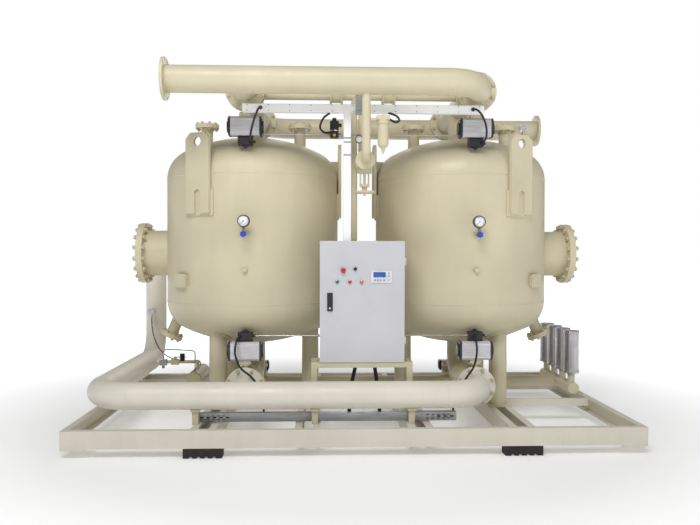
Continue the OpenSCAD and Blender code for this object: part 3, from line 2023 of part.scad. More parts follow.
module temperature_sensor() {
  neck = 60;
  color(silver)
    translate([run_x, riser_y - sensor_stub, sensor_z])
      rotate([90, 0, 0]) {
        cylinder(d = 30, h = neck, $fn = 6);
        translate([0, 0, neck])
          cylinder(d = 70, h = 62);
        translate([0, 0, neck + 62])
          cylinder(d1 = 76, d2 = 68, h = 12);
        translate([0, 0, neck + 31])
          rotate([90, 0, 0])
            cylinder(d = 20, h = 54);
      }
}

// Cable from the sensor's gland down to the gland on the pot
cable_d = 10;
cable_top = [run_x, riser_y - sensor_stub - 91, sensor_z - 54];
// Its stations: share of the way to the pot, then steps along Y and Z
cable_route = [for (step = [
    [0, 0, 0], [0, 0, -40], [0.01, -4, -130], [0.06, -12, -230], [0.15, -24, -330], [0.3, -36, -410],
    [0.49, -46, -455], [0.68, -54, -470], [0.85, -58, -466], [0.925, -60, -462], [0.97, -60, -466],
    [0.994, -60, -478], [1, -60, -494], [1, -60, -510]
  ]) cable_top + [step[0] * pot_reach, step[1], step[2]]];
cable_sides = 8;
function unit(v) = v / norm(v);
function heading(p, i) = unit(p[min(i + 1, len(p) - 1)] - p[max(i - 1, 0)]);
function across(t) = unit(cross(t, abs(t[0]) < 0.9 ? [1, 0, 0] : [0, 1, 0]));
function ring(p, i) =
  let (t = heading(p, i), a = across(t), b = cross(t, a))
  [for (k = [0 : cable_sides - 1])
    p[i] + cable_d / 2 * (cos(k * 360 / cable_sides) * a + sin(k * 360 / cable_sides) * b)];

module swept(p) {
  n = len(p);
  m = cable_sides;
  polyhedron(
    [for (i = [0 : n - 1]) each ring(p, i)],
    concat(
      [[for (k = [0 : m - 1]) k]],
      [for (i = [0 : n - 2]) for (k = [0 : m - 1])
        [i * m + k, (i + 1) * m + k, (i + 1) * m + (k + 1) % m]],
      [for (i = [0 : n - 2]) for (k = [0 : m - 1])
        [i * m + k, (i + 1) * m + (k + 1) % m, i * m + (k + 1) % m]],
      [[for (k = [m - 1 : -1 : 0]) (n - 1) * m + k]]
    )
  );
}

module sensor_cable() {
  color(black)
    swept(cable_route);
}

skid_side_beams();
skid_end_beams();
skid_bearers();
foot_pads();
left_tower_shell();
right_tower_shell();
tower_legs();
lifting_lugs();
manhole_covers();
port_covers();
cover_bolts();
desiccant_beds();
bed_screens();
top_tees();
bottom_elbows();
front_top_header();
rear_top_header();
lower_header();
exhaust_line();
silencers();
valve_bodies();
valve_studs();
left_inlet_disc();
right_inlet_disc();
left_outlet_disc();
right_outlet_disc();
left_regen_disc();
right_regen_disc();
left_exhaust_disc();
right_exhaust_disc();
actuator_bodies();
actuator_end_caps();
actuator_brackets();
indicator_boxes();
purge_line();
globe_valve_body();
globe_handwheel();
air_filter();
filter_bowl();
control_air_tubes();
pressure_gauges();
gauge_cocks();
left_cock_handle();
right_cock_handle();
cable_trunking();
cable_tray();
cabinet_stand();
cabinet_body();
cabinet_door();
door_handle();
estop_button();
selector_knob();
start_button();
stop_button();
panel_fittings();
control_gear();
drain_pot();
drain_lever();
temperature_sensor();
sensor_cable();
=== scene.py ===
"""Looks of the skid-mounted desiccant air dryer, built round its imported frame, in metres."""
import json
import math

import bmesh
import bpy
from mathutils import Matrix, Vector


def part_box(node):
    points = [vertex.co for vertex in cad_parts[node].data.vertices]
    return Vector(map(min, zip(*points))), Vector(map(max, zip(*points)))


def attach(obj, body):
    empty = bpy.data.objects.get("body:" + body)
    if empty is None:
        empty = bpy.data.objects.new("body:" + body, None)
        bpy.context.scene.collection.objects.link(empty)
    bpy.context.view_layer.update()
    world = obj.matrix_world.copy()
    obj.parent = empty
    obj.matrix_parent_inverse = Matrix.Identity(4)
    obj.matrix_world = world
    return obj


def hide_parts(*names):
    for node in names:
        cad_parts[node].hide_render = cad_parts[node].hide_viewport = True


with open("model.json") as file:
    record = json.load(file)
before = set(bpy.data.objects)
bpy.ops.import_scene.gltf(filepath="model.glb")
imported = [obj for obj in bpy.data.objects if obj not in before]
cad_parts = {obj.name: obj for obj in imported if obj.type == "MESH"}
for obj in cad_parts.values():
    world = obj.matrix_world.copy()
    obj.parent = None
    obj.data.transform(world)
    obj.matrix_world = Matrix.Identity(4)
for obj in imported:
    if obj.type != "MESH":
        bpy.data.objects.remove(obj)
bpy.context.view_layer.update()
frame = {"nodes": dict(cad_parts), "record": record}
NODES, RECORD = frame["nodes"], frame["record"]
MOUNT = {m["name"]: Vector(m["pos_m"]) for m in RECORD["mounts"]}
JOINT = {j["name"]: Vector(j["pos_m"]) for j in RECORD["behaviour"]["joints"] if "pos_m" in j}

# Places taken from the frame
LEFT_X, RIGHT_X = JOINT["left_inlet_turn"].x, JOINT["right_inlet_turn"].x
TOWER_XS = (LEFT_X, RIGHT_X)
TOWER_MID = (LEFT_X + RIGHT_X) / 2
VALVE_Y, LOW_Z = JOINT["left_inlet_turn"].y, JOINT["left_inlet_turn"].z
FRONT_Y, TOP_Z = MOUNT["outlet_flange"].y, MOUNT["outlet_flange"].z
REAR_Y = MOUNT["regen_flange"].y
RUN_X, RISER_Y = MOUNT["inlet_flange"].x, MOUNT["inlet_flange"].y
BYPASS_X = JOINT["handwheel_turn"].x
BEAM_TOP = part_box("skid_side_beams")[1].z
TRUNK_LOW, TRUNK_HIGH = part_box("cable_trunking")
TRAY_LOW, TRAY_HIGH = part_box("cable_tray")
CABINET_LOW, CABINET_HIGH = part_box("cabinet_body")

# Sizes that the frame's boxes and joints don't give
AIR_TUBE_DROP = 0.3688
AIR_TUBE_Z = TOP_Z - AIR_TUBE_DROP
TRUNK_H = 0.067
TRUNK_BOTTOM = TRUNK_HIGH.z - TRUNK_H
DOOR_W, DOOR_H = 0.700, 1.000
TOWER_R = 0.800
CROWN_R, KNUCKLE_R = 1.4472, 0.27632
KNUCKLE_AT = TOWER_R - KNUCKLE_R
CROWN_DROP = math.sqrt((CROWN_R - KNUCKLE_R) ** 2 - KNUCKLE_AT ** 2)
HEAD_HEIGHT = CROWN_R - CROWN_DROP
NOZZLE_STUB = 0.043
SEAM_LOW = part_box("left_tower_shell")[0].z + NOZZLE_STUB + HEAD_HEIGHT
SHELL_H = 1.128
SEAM_HIGH = SEAM_LOW + SHELL_H
PIPE_R = 0.1095
ELBOW_R = 0.305


# Camera, at the photograph's viewing angle

PHOTO_WIDTH = 700
FOCAL_PIXELS = 726.6
SENSOR_MM = 36.0
CAMERA_FROM_MID = Vector((-0.337, -6.972, 1.582))
CAMERA_YAW = math.radians(2.236)
CAMERA_PITCH = math.radians(0.695)
CAMERA_ROLL = math.radians(0.104)


def make_camera():
    data = bpy.data.cameras.new("camera")
    data.sensor_fit = "HORIZONTAL"
    data.sensor_width = SENSOR_MM
    data.lens = FOCAL_PIXELS * SENSOR_MM / PHOTO_WIDTH
    camera = bpy.data.objects.new("camera", data)
    camera.location = CAMERA_FROM_MID + Vector((TOWER_MID, 0, 0))
    look = Matrix.Rotation(-CAMERA_YAW, 3, "Z") @ Matrix.Rotation(math.pi / 2 - CAMERA_PITCH, 3, "X")
    camera.rotation_euler = (look @ Matrix.Rotation(CAMERA_ROLL, 3, "Z")).to_euler()
    bpy.context.collection.objects.link(camera)
    bpy.context.scene.camera = camera


# Light and floor

# Each light's place, width and height, and watts
LIGHTS = {
    "key": ((-1.6, -7.4, 8.0), (5, 3), 470),
    "fill": ((6.5, -6.5, 4.0), (5, 4), 80),
    "top": ((0, -1.0, 9.0), (8, 6), 50),
    "back": ((1.0, 8.0, 5.5), (7, 4), 170),
}
LIT_POINT = Vector((0, 0, 1.4))
ROOM_GREY, BACKDROP_WHITE = (0.19, 0.195, 0.20, 1), (1, 1, 1, 1)
FLOOR_REACH = 60.0

# The floor's own glow near the object and far off, and where it starts and ends
GLOW_NEAR, GLOW_FAR = 0.20, 1.0
GLOW_FROM, GLOW_TO = 2.6, 6.5


def area_light(name, place, size, watts):
    data = bpy.data.lights.new(name, "AREA")
    data.shape = "RECTANGLE"
    data.size, data.size_y = size
    data.energy = watts
    light = bpy.data.objects.new(name, data)
    light.location = place
    light.rotation_euler = (LIT_POINT - Vector(place)).to_track_quat("-Z", "Y").to_euler()
    bpy.context.collection.objects.link(light)


def make_world():
    """A white backdrop on every side, and a grey room for what it lights."""
    world = bpy.data.worlds.new("studio")
    world.use_nodes = True
    tree = world.node_tree
    room = tree.nodes["Background"]
    room.inputs["Color"].default_value = ROOM_GREY
    backdrop = tree.nodes.new("ShaderNodeBackground")
    backdrop.inputs["Color"].default_value = BACKDROP_WHITE
    seen = tree.nodes.new("ShaderNodeLightPath").outputs["Is Camera Ray"]
    either = tree.nodes.new("ShaderNodeMixShader")
    tree.links.new(seen, either.inputs["Fac"])
    tree.links.new(room.outputs["Background"], either.inputs[1])
    tree.links.new(backdrop.outputs["Background"], either.inputs[2])
    tree.links.new(either.outputs["Shader"], tree.nodes["World Output"].inputs["Surface"])
    bpy.context.scene.world = world


def make_studio():
    make_world()
    for name, light in LIGHTS.items():
        area_light(name, *light)
    mesh = bpy.data.meshes.new("floor")
    r = FLOOR_REACH
    mesh.from_pydata([(-r, -r, 0), (r, -r, 0), (r, r, 0), (-r, r, 0)], [], [(0, 1, 2, 3)])
    floor = bpy.data.objects.new("floor", mesh)
    bpy.context.collection.objects.link(floor)
    floor.data.materials.append(white_floor())
    view = bpy.context.scene.view_settings
    view.view_transform = "Standard"
    view.exposure = 0.0


# Materials

MATERIALS = {}
SOCKETS = {"metal": "Metallic", "rough": "Roughness", "specular": "Specular IOR Level", "alpha": "Alpha"}


class Nodes:
    """A material's node tree, with short ways to add and join nodes."""

    def __init__(self, name):
        self.material = bpy.data.materials.new(name)
        self.material.use_nodes = True
        self.tree = self.material.node_tree
        self.shader = self.tree.nodes["Principled BSDF"]

    def add(self, kind, **values):
        node = self.tree.nodes.new(kind)
        for key, value in values.items():
            setattr(node, key, value)
        return node

    def join(self, source, target):
        self.tree.links.new(source, target)

    def coords(self):
        return self.add("ShaderNodeTexCoord").outputs["Object"]

    def noise(self, scale, detail=4.0, rough=0.55, stretch=(1, 1, 1)):
        mapping = self.add("ShaderNodeMapping")
        mapping.inputs["Scale"].default_value = stretch
        self.join(self.coords(), mapping.inputs["Vector"])
        noise = self.add("ShaderNodeTexNoise")
        noise.inputs["Scale"].default_value = scale
        noise.inputs["Detail"].default_value = detail
        noise.inputs["Roughness"].default_value = rough
        self.join(mapping.outputs["Vector"], noise.inputs["Vector"])
        return noise.outputs["Fac"]

    def spread(self, value, low, high, from_low=0.35, from_high=0.65):
        remap = self.add("ShaderNodeMapRange")
        remap.inputs["From Min"].default_value = from_low
        remap.inputs["From Max"].default_value = from_high
        remap.inputs["To Min"].default_value = low
        remap.inputs["To Max"].default_value = high
        self.join(value, remap.inputs["Value"])
        return remap.outputs["Result"]

    def mix(self, amount, first, second, blend="MIX"):
        """Mixes two colours; each is a colour or a socket."""
        mix = self.add("ShaderNodeMix", data_type="RGBA", blend_type=blend)
        for key, value in (("Factor", amount), ("A", first), ("B", second)):
            socket = [s for s in mix.inputs if s.name == key and (key == "Factor" or s.type == "RGBA")][0]
            if isinstance(value, bpy.types.NodeSocket):
                self.join(value, socket)
            else:
                socket.default_value = value if key == "Factor" else (*value, 1)
        return [s for s in mix.outputs if s.type == "RGBA"][0]

    def bump(self, height, strength, distance, normal=None):
        bump = self.add("ShaderNodeBump")
        bump.inputs["Strength"].default_value = strength
        bump.inputs["Distance"].default_value = distance
        self.join(height, bump.inputs["Height"])
        if normal is not None:
            self.join(normal, bump.inputs["Normal"])
        return bump.outputs["Normal"]

    def rounded(self, radius):
        edge = self.add("ShaderNodeBevel", samples=4)
        edge.inputs["Radius"].default_value = radius
        return edge.outputs["Normal"]

    def set(self, **values):
        for key, value in values.items():
            self.shader.inputs[SOCKETS[key]].default_value = value

    def colour(self, value):
        if isinstance(value, bpy.types.NodeSocket):
            self.join(value, self.shader.inputs["Base Color"])
        else:
            self.shader.inputs["Base Color"].default_value = (*value, 1)

    def roughness(self, value, low, high):
        self.join(self.spread(value, low, high), self.shader.inputs["Roughness"])

    def normal(self, value):
        self.join(value, self.shader.inputs["Normal"])


def linear(r, g, b):
    """A screen colour, 0 to 255, as the linear colour of a shader."""
    def one(v):
        v = v / 255
        return v / 12.92 if v <= 0.04045 else ((v + 0.055) / 1.055) ** 2.4
    return (one(r), one(g), one(b))


def shade(colour, factor):
    return tuple(min(1.0, c * factor) for c in colour)


def white_floor():
    """A white sweep: it takes the object's shadow near by and glows white further off."""
    m = Nodes("white_floor")
    m.colour(linear(243, 243, 243))
    m.set(rough=0.9, specular=0.1)
    away = m.add("ShaderNodeVectorMath", operation="LENGTH")
    m.join(m.coords(), away.inputs[0])
    m.shader.inputs["Emission Color"].default_value = BACKDROP_WHITE
    glow = m.spread(away.outputs["Value"], GLOW_NEAR, GLOW_FAR, GLOW_FROM, GLOW_TO)
    m.join(glow, m.shader.inputs["Emission Strength"])
    return m.material


def paint(name, colour, rough=0.42, edge=0.003, dust=0.25, peel=0.06):
    """Brushed and sprayed paint: cloudy tone, settled dust, orange peel and softened edges."""
    m = Nodes(name)
    cloudy = m.spread(m.noise(scale=1.7, detail=5.0), low=0.0, high=1.0)
    tone = m.mix(cloudy, shade(colour, 0.94), shade(colour, 1.04))
    runs = m.noise(scale=2.4, detail=6.0, rough=0.6, stretch=(3.0, 3.0, 0.35))
    streaks = m.spread(runs, low=0.0, high=dust, from_low=0.5, from_high=0.8)
    tone = m.mix(streaks, tone, shade(colour, 0.80))
    specks = m.spread(m.noise(scale=42.0, detail=3.0), low=0.0, high=0.35, from_low=0.66, from_high=0.80)
    m.colour(m.mix(specks, tone, shade(colour, 0.72)))
    m.roughness(m.noise(scale=6.0, detail=4.0), rough - 0.06, rough + 0.10)
    m.normal(m.bump(m.noise(scale=160.0, detail=2.0), strength=peel, distance=0.0015, normal=m.rounded(edge)))
    MATERIALS[name] = m.material


def metal(name, colour, rough, stretch=(1, 1, 1), grain=220.0, edge=0.0015, depth=0.08, bare=1.0):
    """Bare metal with a fine grain that can be drawn out along one axis."""
    m = Nodes(name)
    grainy = m.noise(scale=grain, detail=3.0, rough=0.6, stretch=stretch)
    m.colour(m.mix(m.spread(grainy, 0.0, 1.0), shade(colour, 0.82), shade(colour, 1.08)))
    m.roughness(m.noise(scale=14.0, detail=4.0), rough - 0.07, rough + 0.10)
    m.set(metal=bare)
    m.normal(m.bump(grainy, strength=depth, distance=0.0006, normal=m.rounded(edge)))
    MATERIALS[name] = m.material


def plastic(name, colour, rough=0.45, edge=0.0012, grain=380.0):
    """Moulded plastic or rubber with a fine spark texture."""
    m = Nodes(name)
    cloudy = m.spread(m.noise(scale=18.0, detail=3.0), low=0.0, high=1.0)
    m.colour(m.mix(cloudy, shade(colour, 0.86), shade(colour, 1.12)))
    m.roughness(m.noise(scale=30.0, detail=3.0), rough - 0.06, rough + 0.08)
    m.normal(m.bump(m.noise(scale=grain, detail=2.0), strength=0.10, distance=0.0004, normal=m.rounded(edge)))
    MATERIALS[name] = m.material


def beads(name, colour):
    """Loose round grains, with painted shade darkening the gaps between them."""
    m = Nodes(name)
    cells = m.add("ShaderNodeTexVoronoi")
    cells.inputs["Scale"].default_value = 160.0
    m.join(m.coords(), cells.inputs["Vector"])
    gaps = m.spread(cells.outputs["Distance"], low=0.0, high=1.0, from_low=0.0, from_high=0.7)
    # painted shade: the colour darkens towards the gaps between grains
    m.colour(m.mix(gaps, colour, shade(colour, 0.6)))
    m.set(rough=0.8)
    m.normal(m.bump(cells.outputs["Distance"], strength=0.6, distance=-0.003))
    MATERIALS[name] = m.material


def clear_cover(name):
    """Thin glass: a faint gloss over what lies behind it."""
    m = Nodes(name)
    m.colour((0.95, 0.97, 0.98))
    m.set(rough=0.06, alpha=0.10, specular=0.6)
    MATERIALS[name] = m.material


CREAM = linear(206, 197, 168)


def make_materials():
    paint("cream_paint", CREAM)
    # a paler copy of the cream paint: painted light on the lower header, which catches more light from the
    # front
    paint("painted_light_cream", linear(228, 223, 209))
    paint("skid_paint", linear(219, 214, 199), rough=0.5, dust=0.4)
    paint("cabinet_paint", linear(202, 202, 207), rough=0.48, edge=0.002, dust=0.08, peel=0.12)
    paint("bolt_paint", shade(CREAM, 0.86), edge=0.001)
    plastic("rubber", linear(40, 36, 35), rough=0.75)
    metal("zinc_steel", linear(196, 188, 160), 0.42)
    metal("stainless", linear(190, 189, 192), 0.30, (1, 1, 0.02))
    metal("silencer_steel", linear(186, 184, 190), 0.33, (1, 1, 0.01), 90.0, depth=0.015)
    metal("gauge_case", linear(92, 94, 104), 0.32)
    beads("desiccant", linear(222, 218, 208))
    metal("actuator_alloy", linear(212, 210, 214), 0.36, (0.03, 1, 1), depth=0.02, bare=0.45)
    plastic("dark_casting", linear(46, 46, 51), rough=0.36, edge=0.003)
    plastic("black_plastic", linear(34, 34, 37), rough=0.42)
    plastic("grey_plastic", linear(150, 152, 156), rough=0.5)
    plastic("panel_grey", linear(216, 217, 222), rough=0.42)
    metal("brass", linear(190, 165, 105), 0.3)
    metal("chrome", linear(214, 215, 220), 0.16, depth=0.02)
    plastic("blue_plastic", linear(52, 80, 196), rough=0.32)
    plastic("red_plastic", linear(205, 38, 52), rough=0.3)
    plastic("green_plastic", linear(28, 128, 108), rough=0.3)
    plastic("yellow_plastic", linear(222, 176, 40), rough=0.35)
    plastic("orange_lens", linear(228, 136, 34), rough=0.18)
    plastic("white_plastic", linear(244, 245, 250), rough=0.35)
    metal("galvanised", linear(204, 205, 211), 0.44, (0.05, 1, 1), 60.0, depth=0.03)
    paint("trunk_paint", linear(250, 251, 254), rough=0.38, edge=0.002, dust=0.10, peel=0.03)
    plastic("cable_rubber", linear(24, 24, 26), rough=0.36)
    plastic("dial_white", linear(244, 246, 250), rough=0.5)
    plastic("ink", linear(22, 24, 30), rough=0.5)
    plastic("screen_blue", linear(52, 92, 180), rough=0.14)
    clear_cover("glass")


# Nodes whose look differs from the rest of their slot
OWN_LOOK = {
    "silencers": "silencer_steel",
    "pressure_gauges": "gauge_case",
    "cover_bolts": "bolt_paint",
    "valve_studs": "bolt_paint",
    # the lower header's paler cream is painted light
    "lower_header": "painted_light_cream",
    "cable_trunking": "trunk_paint",
}


def dress_frame():
    """Gives each node of the frame the material of its slot, or its own."""
    slots = {p["node"]: p["material_slot"] for p in RECORD["subparts"]}
    for name, node in NODES.items():
        node.data.materials.clear()
        node.data.materials.append(MATERIALS[OWN_LOOK.get(name, slots[name])])


# Mesh helpers

def piece(name, mesh, material, body, smooth=True):
    """Links a finished mesh as a piece of the object, riding on a body."""
    thing = bpy.data.objects.new(name, mesh)
    bpy.context.collection.objects.link(thing)
    thing.data.materials.append(MATERIALS[material])
    for face in mesh.polygons:
        face.use_smooth = smooth
    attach(thing, body)
    return thing


def round_point(radius, share, height):
    """A point on a circle round Z, at a share of a full turn."""
    angle = 2 * math.pi * share
    return Vector((radius * math.cos(angle), radius * math.sin(angle), height))


def lathe(profile, turns=48):
    """A bmesh of a profile of (radius, height) points turned round Z; points on the axis close it."""
    bm = bmesh.new()
    rings = []
    for radius, height in profile:
        count = turns if radius > 1e-6 else 1
        rings.append([bm.verts.new(round_point(radius, k / turns, height)) for k in range(count)])
    for low, high in zip(rings, rings[1:]):
        for k in range(turns):
            n = (k + 1) % turns
            if len(low) == 1:
                bm.faces.new((low[0], high[n], high[k]))
            elif len(high) == 1:
                bm.faces.new((low[k], low[n], high[0]))
            else:
                bm.faces.new((low[k], low[n], high[n], high[k]))
    bmesh.ops.recalc_face_normals(bm, faces=bm.faces)
    return bm


def finished(bm, name, matrix):
    bm.transform(matrix)
    mesh = bpy.data.meshes.new(name)
    bm.to_mesh(mesh)
    bm.free()
    return mesh


def whole(bm, name):
    bmesh.ops.recalc_face_normals(bm, faces=bm.faces)
    return finished(bm, name, Matrix.Identity(4))


def facing_front(place):
    """Puts local +Z towards the viewer (-Y), local +Y up."""
    return Matrix.Translation(place) @ Matrix.Rotation(math.pi / 2, 4, "X")


def add_box(bm, low, high, edge=0.0):
    """Adds a box between two corners, its edges cut back if edge is given."""
    low, high = Vector(low), Vector(high)
    verts = bmesh.ops.create_cube(bm, size=1)["verts"]
    bmesh.ops.scale(bm, verts=verts, vec=high - low)
    bmesh.ops.translate(bm, verts=verts, vec=(low + high) / 2)
    if edge:
        edges = list({e for v in verts for e in v.link_edges})
        bmesh.ops.bevel(bm, geom=edges, offset=edge, segments=2, profile=0.5, affect="EDGES")


def add_block(bm, centre, size, edge=0.0):
    """Adds a box of a given size round its centre."""
    centre, half = Vector(centre), Vector(size) / 2
    add_box(bm, centre - half, centre + half, edge)


def add_column(bm, x, y, plan, heights, edge=0.0):
    """Adds an upright box: its size in plan, and its lower and upper height."""
    low, high = heights
    add_block(bm, (x, y, (low + high) / 2), (*plan, high - low), edge)


def add_rod(bm, start, end, radius, sides=24, end_radius=None):
    """Adds a closed round or six-sided bar between two points."""
    start, end = Vector(start), Vector(end)
    made = bmesh.ops.create_cone(
        bm, cap_ends=True, segments=sides, radius1=radius,
        radius2=radius if end_radius is None else end_radius, depth=(end - start).length)
    turn = (end - start).to_track_quat("Z", "Y").to_matrix().to_4x4()
    bmesh.ops.transform(bm, matrix=Matrix.Translation((start + end) / 2) @ turn, verts=made["verts"])


def add_fitting(bm, at, blocks=(), rods=()):
    """Adds blocks (centre, size, edge) and rods (start, end, radius, sides) measured from one place."""
    at = Vector(at)
    for centre, size, edge in blocks:
        add_block(bm, at + Vector(centre), size, edge)
    for start, end, *shape in rods:
        add_rod(bm, at + Vector(start), at + Vector(end), *shape)


BEAD_SHAPE = ((0, -0.5), (0.5, -0.3), (1.0, 0.0), (0.5, 0.3), (0, 0.5))
BEAD_ROOT, BEAD_RIPPLE = 0.002, 0.15


def add_bead(bm, centre, axis, radius, width=0.010, height=0.0022, turns=180):
    """Adds a rippled weld bead round a pipe or shell."""
    place = Matrix.Translation(centre) @ Vector(axis).to_track_quat("Z", "Y").to_matrix().to_4x4()
    rings = []
    for k in range(turns):
        ripple = 1 - BEAD_RIPPLE + BEAD_RIPPLE * math.cos(math.pi * k)
        ring = []
        for up, along in BEAD_SHAPE:
            reach = radius + (up * height * ripple if up > 0 else -BEAD_ROOT)
            ring.append(bm.verts.new(place @ round_point(reach, k / turns, along * width)))
        rings.append(ring)
    for k in range(turns):
        here, after = rings[k], rings[(k + 1) % turns]
        for a in range(len(BEAD_SHAPE)):
            b = (a + 1) % len(BEAD_SHAPE)
            bm.faces.new((here[a], after[a], after[b], here[b]))


# Cables

LEAD_D = 0.018
HOSE_D = 0.032
SENSOR_CABLE_D = 0.010
ROUTE_POINTS = 38
STEPS_BETWEEN = 6
ARC_POINTS = 20

# Where the leads of the switch boxes start and end
BOX_FACE_Y = VALVE_Y - 0.0434
BOX_FROM_AXIS = 0.4348
BOX_TOP_Z, BOX_LOW_Z = TOP_Z - BOX_FROM_AXIS, LOW_Z + BOX_FROM_AXIS
TRAY_BACK_Y, TRAY_Z = TRAY_HIGH.y, (TRAY_LOW.z + TRAY_HIGH.z) / 2

# How far a top lead reaches out of the trunking and out of its box before it turns
LEAVE_TRUNK, LEAVE_BOX = 0.150, 0.270

# Places along X of a top lead, from its tower's axis: start, leaving, arriving, end
LEFT_TOP_XS = (0.142, 0.130, 0.055, 0.045)
RIGHT_TOP_XS = (-0.061, -0.010, 0.078, 0.048)

# Points of a low lead from the middle of its box's face, and its place along X in the tray
LEFT_LOW_STEPS = (
    (-0.045, 0, 0), (-0.062, -0.080, -0.030), (-0.070, -0.120, -0.130), (-0.026, -0.124, -0.245),
    (0.070, -0.130, -0.328), (0.140, -0.138, -0.425), (0.170, -0.160, -0.535))
LEFT_LOW_END = 0.175
RIGHT_LOW_STEPS = (
    (-0.012, 0, 0), (-0.014, -0.080, -0.030), (-0.016, -0.120, -0.130), (-0.042, -0.124, -0.245),
    (-0.106, -0.130, -0.340), (-0.170, -0.138, -0.435), (-0.212, -0.160, -0.535))
RIGHT_LOW_END = -0.240

# Points of the leads under the trunking: X from the bypass line, Y, and Z from the trunking's underside
UNDER_TRUNK = Vector((BYPASS_X, 0, TRUNK_BOTTOM))
TO_TUBE = AIR_TUBE_Z - TRUNK_BOTTOM
SOLENOID_LEAD_STEPS = (
    (-0.290, -0.900, 0), (-0.345, -0.870, -0.040), (-0.372, -0.815, TO_TUBE + 0.052),
    (-0.338, -0.772, TO_TUBE + 0.016), (-0.286, VALVE_Y, TO_TUBE + 0.018))
FILTER_LEAD_STEPS = (
    (0.200, -0.920, 0), (0.258, -0.980, -0.035), (0.275, -1.050, -0.085), (0.235, -1.110, -0.110),
    (0.187, FRONT_Y, -0.092))

# Start of each hose from the cabinet's middle, and its drift along X on the way down
HOSES = (("hose_left", -0.045, -0.060), ("hose_right", 0.110, 0.035))
HOSE_Y = -0.870

# Points of a hose under the cabinet's floor: share of its drift, then Y and Z; and its way above the tray
HOSE_STEPS = ((0, 0, 0), (0.1, -0.002, -0.060), (0.6, -0.025, -0.190), (0.95, -0.080, -0.320))
HOSE_BACK, HOSE_ABOVE = 0.030, 0.060

# Nut and sleeve of a lead's gland: from, to, and radii as shares of the lead's diameter
GLAND_NUT, GLAND_SLEEVE = (-0.003, 0.009, 0.95), (0.008, 0.030, 0.80, 0.56)
NUT_SIDES, SLEEVE_SIDES = 6, 24

# Points of the sensor's lead under its head: share of the way to the drain pot, then Y and Z
SENSOR_REACH = 0.530
SENSOR_TOP = Vector((RUN_X, RISER_Y - PIPE_R - 0.111, LOW_Z + 0.451))
SENSOR_STEPS = (
    (0, 0, 0), (0, 0, -0.040), (0.01, -0.004, -0.130), (0.06, -0.012, -0.230), (0.15, -0.024, -0.330),
    (0.3, -0.036, -0.410), (0.49, -0.046, -0.455), (0.68, -0.054, -0.470), (0.85, -0.058, -0.466),
    (0.925, -0.060, -0.462), (0.97, -0.060, -0.466), (0.994, -0.060, -0.478), (1, -0.060, -0.494),
    (1, -0.060, -0.510))


def smooth_route(points):
    """Points of a smooth line through the given ones."""
    pts = [Vector(p) for p in points]
    ends = [2 * pts[0] - pts[1]] + pts + [2 * pts[-1] - pts[-2]]
    steps = min(STEPS_BETWEEN, ROUTE_POINTS // (len(pts) - 1))
    route = []
    for a, b, c, d in zip(ends, ends[1:], ends[2:], ends[3:]):
        for k in range(steps):
            u = k / steps
            route.append(0.5 * (2 * b + (c - a) * u + (2 * a - 5 * b + 4 * c - d) * u * u
                                + (3 * b - a - 3 * c + d) * u ** 3))
    return route + [pts[-1]]


def arched(start, leave, arrive, end):
    """Points of one smooth arc that leaves towards the second place and arrives from the third."""
    a, b, c, d = (Vector(p) for p in (start, leave, arrive, end))
    places = []
    for k in range(ARC_POINTS):
        u = k / (ARC_POINTS - 1)
        v = 1 - u
        places.append(v ** 3 * a + 3 * v ** 2 * u * b + 3 * v * u * u * c + u ** 3 * d)
    return places


def cable(name, points, diameter, replaced=None):
    """Makes a cord and gives back its route."""
    route = smooth_route(points)
    data = bpy.data.curves.new(name, "CURVE")
    data.dimensions = "3D"
    data.bevel_depth = diameter / 2
    data.bevel_resolution = 4
    data.use_fill_caps = True
    spline = data.splines.new("POLY")
    spline.points.add(len(route) - 1)
    for point, place in zip(spline.points, route):
        point.co = (*place, 1)
    data.materials.append(MATERIALS["cable_rubber"])
    thing = bpy.data.objects.new(name, data)
    bpy.context.collection.objects.link(thing)
    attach(thing, "base")
    if replaced:
        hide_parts(replaced)
    return route


def top_lead(name, tower_x, xs):
    """A lead out of the trunking's lid, down, and back into a top switch box."""
    lid_y, lid_z = TRUNK_LOW.y, TRUNK_HIGH.z - TRUNK_H / 2
    start, leave, arrive, end = (tower_x + x for x in xs)
    return cable(name, arched(
        (start, lid_y, lid_z), (leave, lid_y - LEAVE_TRUNK, lid_z),
        (arrive, BOX_FACE_Y - LEAVE_BOX, BOX_TOP_Z), (end, BOX_FACE_Y, BOX_TOP_Z)), LEAD_D)


def low_lead(name, tower_x, steps, tray_x):
    """A lead out of a low switch box, past the header's branch and down into the tray."""
    box = Vector((tower_x, BOX_FACE_Y, BOX_LOW_Z))
    points = [box + Vector(step) for step in steps]
    return cable(name, points + [(tower_x + tray_x, TRAY_BACK_Y, TRAY_Z)], LEAD_D)


def trunk_lead(name, steps):
    """A lead from under the trunking to a fitting near the bypass line."""
    return cable(name, [UNDER_TRUNK + Vector(step) for step in steps], LEAD_D)


def hose(name, start, drift):
    """A hose from the cabinet's floor down into the tray."""
    top = Vector((CABINET_LOW.x + DOOR_W / 2 + start, HOSE_Y, CABINET_LOW.z))
    end = Vector((top.x + drift, TRAY_BACK_Y, TRAY_Z))
    points = [top + Vector((share * drift, y, z)) for share, y, z in HOSE_STEPS]
    points += [end + Vector((0, HOSE_BACK, HOSE_ABOVE)), end]
    return cable(name, points, HOSE_D)


def add_gland(bm, place, way, diameter):
    """A six-sided nut and a tapered sleeve where a lead enters its housing."""
    way = way.normalized()
    low, high, share = GLAND_NUT
    add_rod(bm, place + way * low, place + way * high, share * diameter, NUT_SIDES)
    low, high, share, end_share = GLAND_SLEEVE
    add_rod(bm, place + way * low, place + way * high, share * diameter, SLEEVE_SIDES, end_share * diameter)


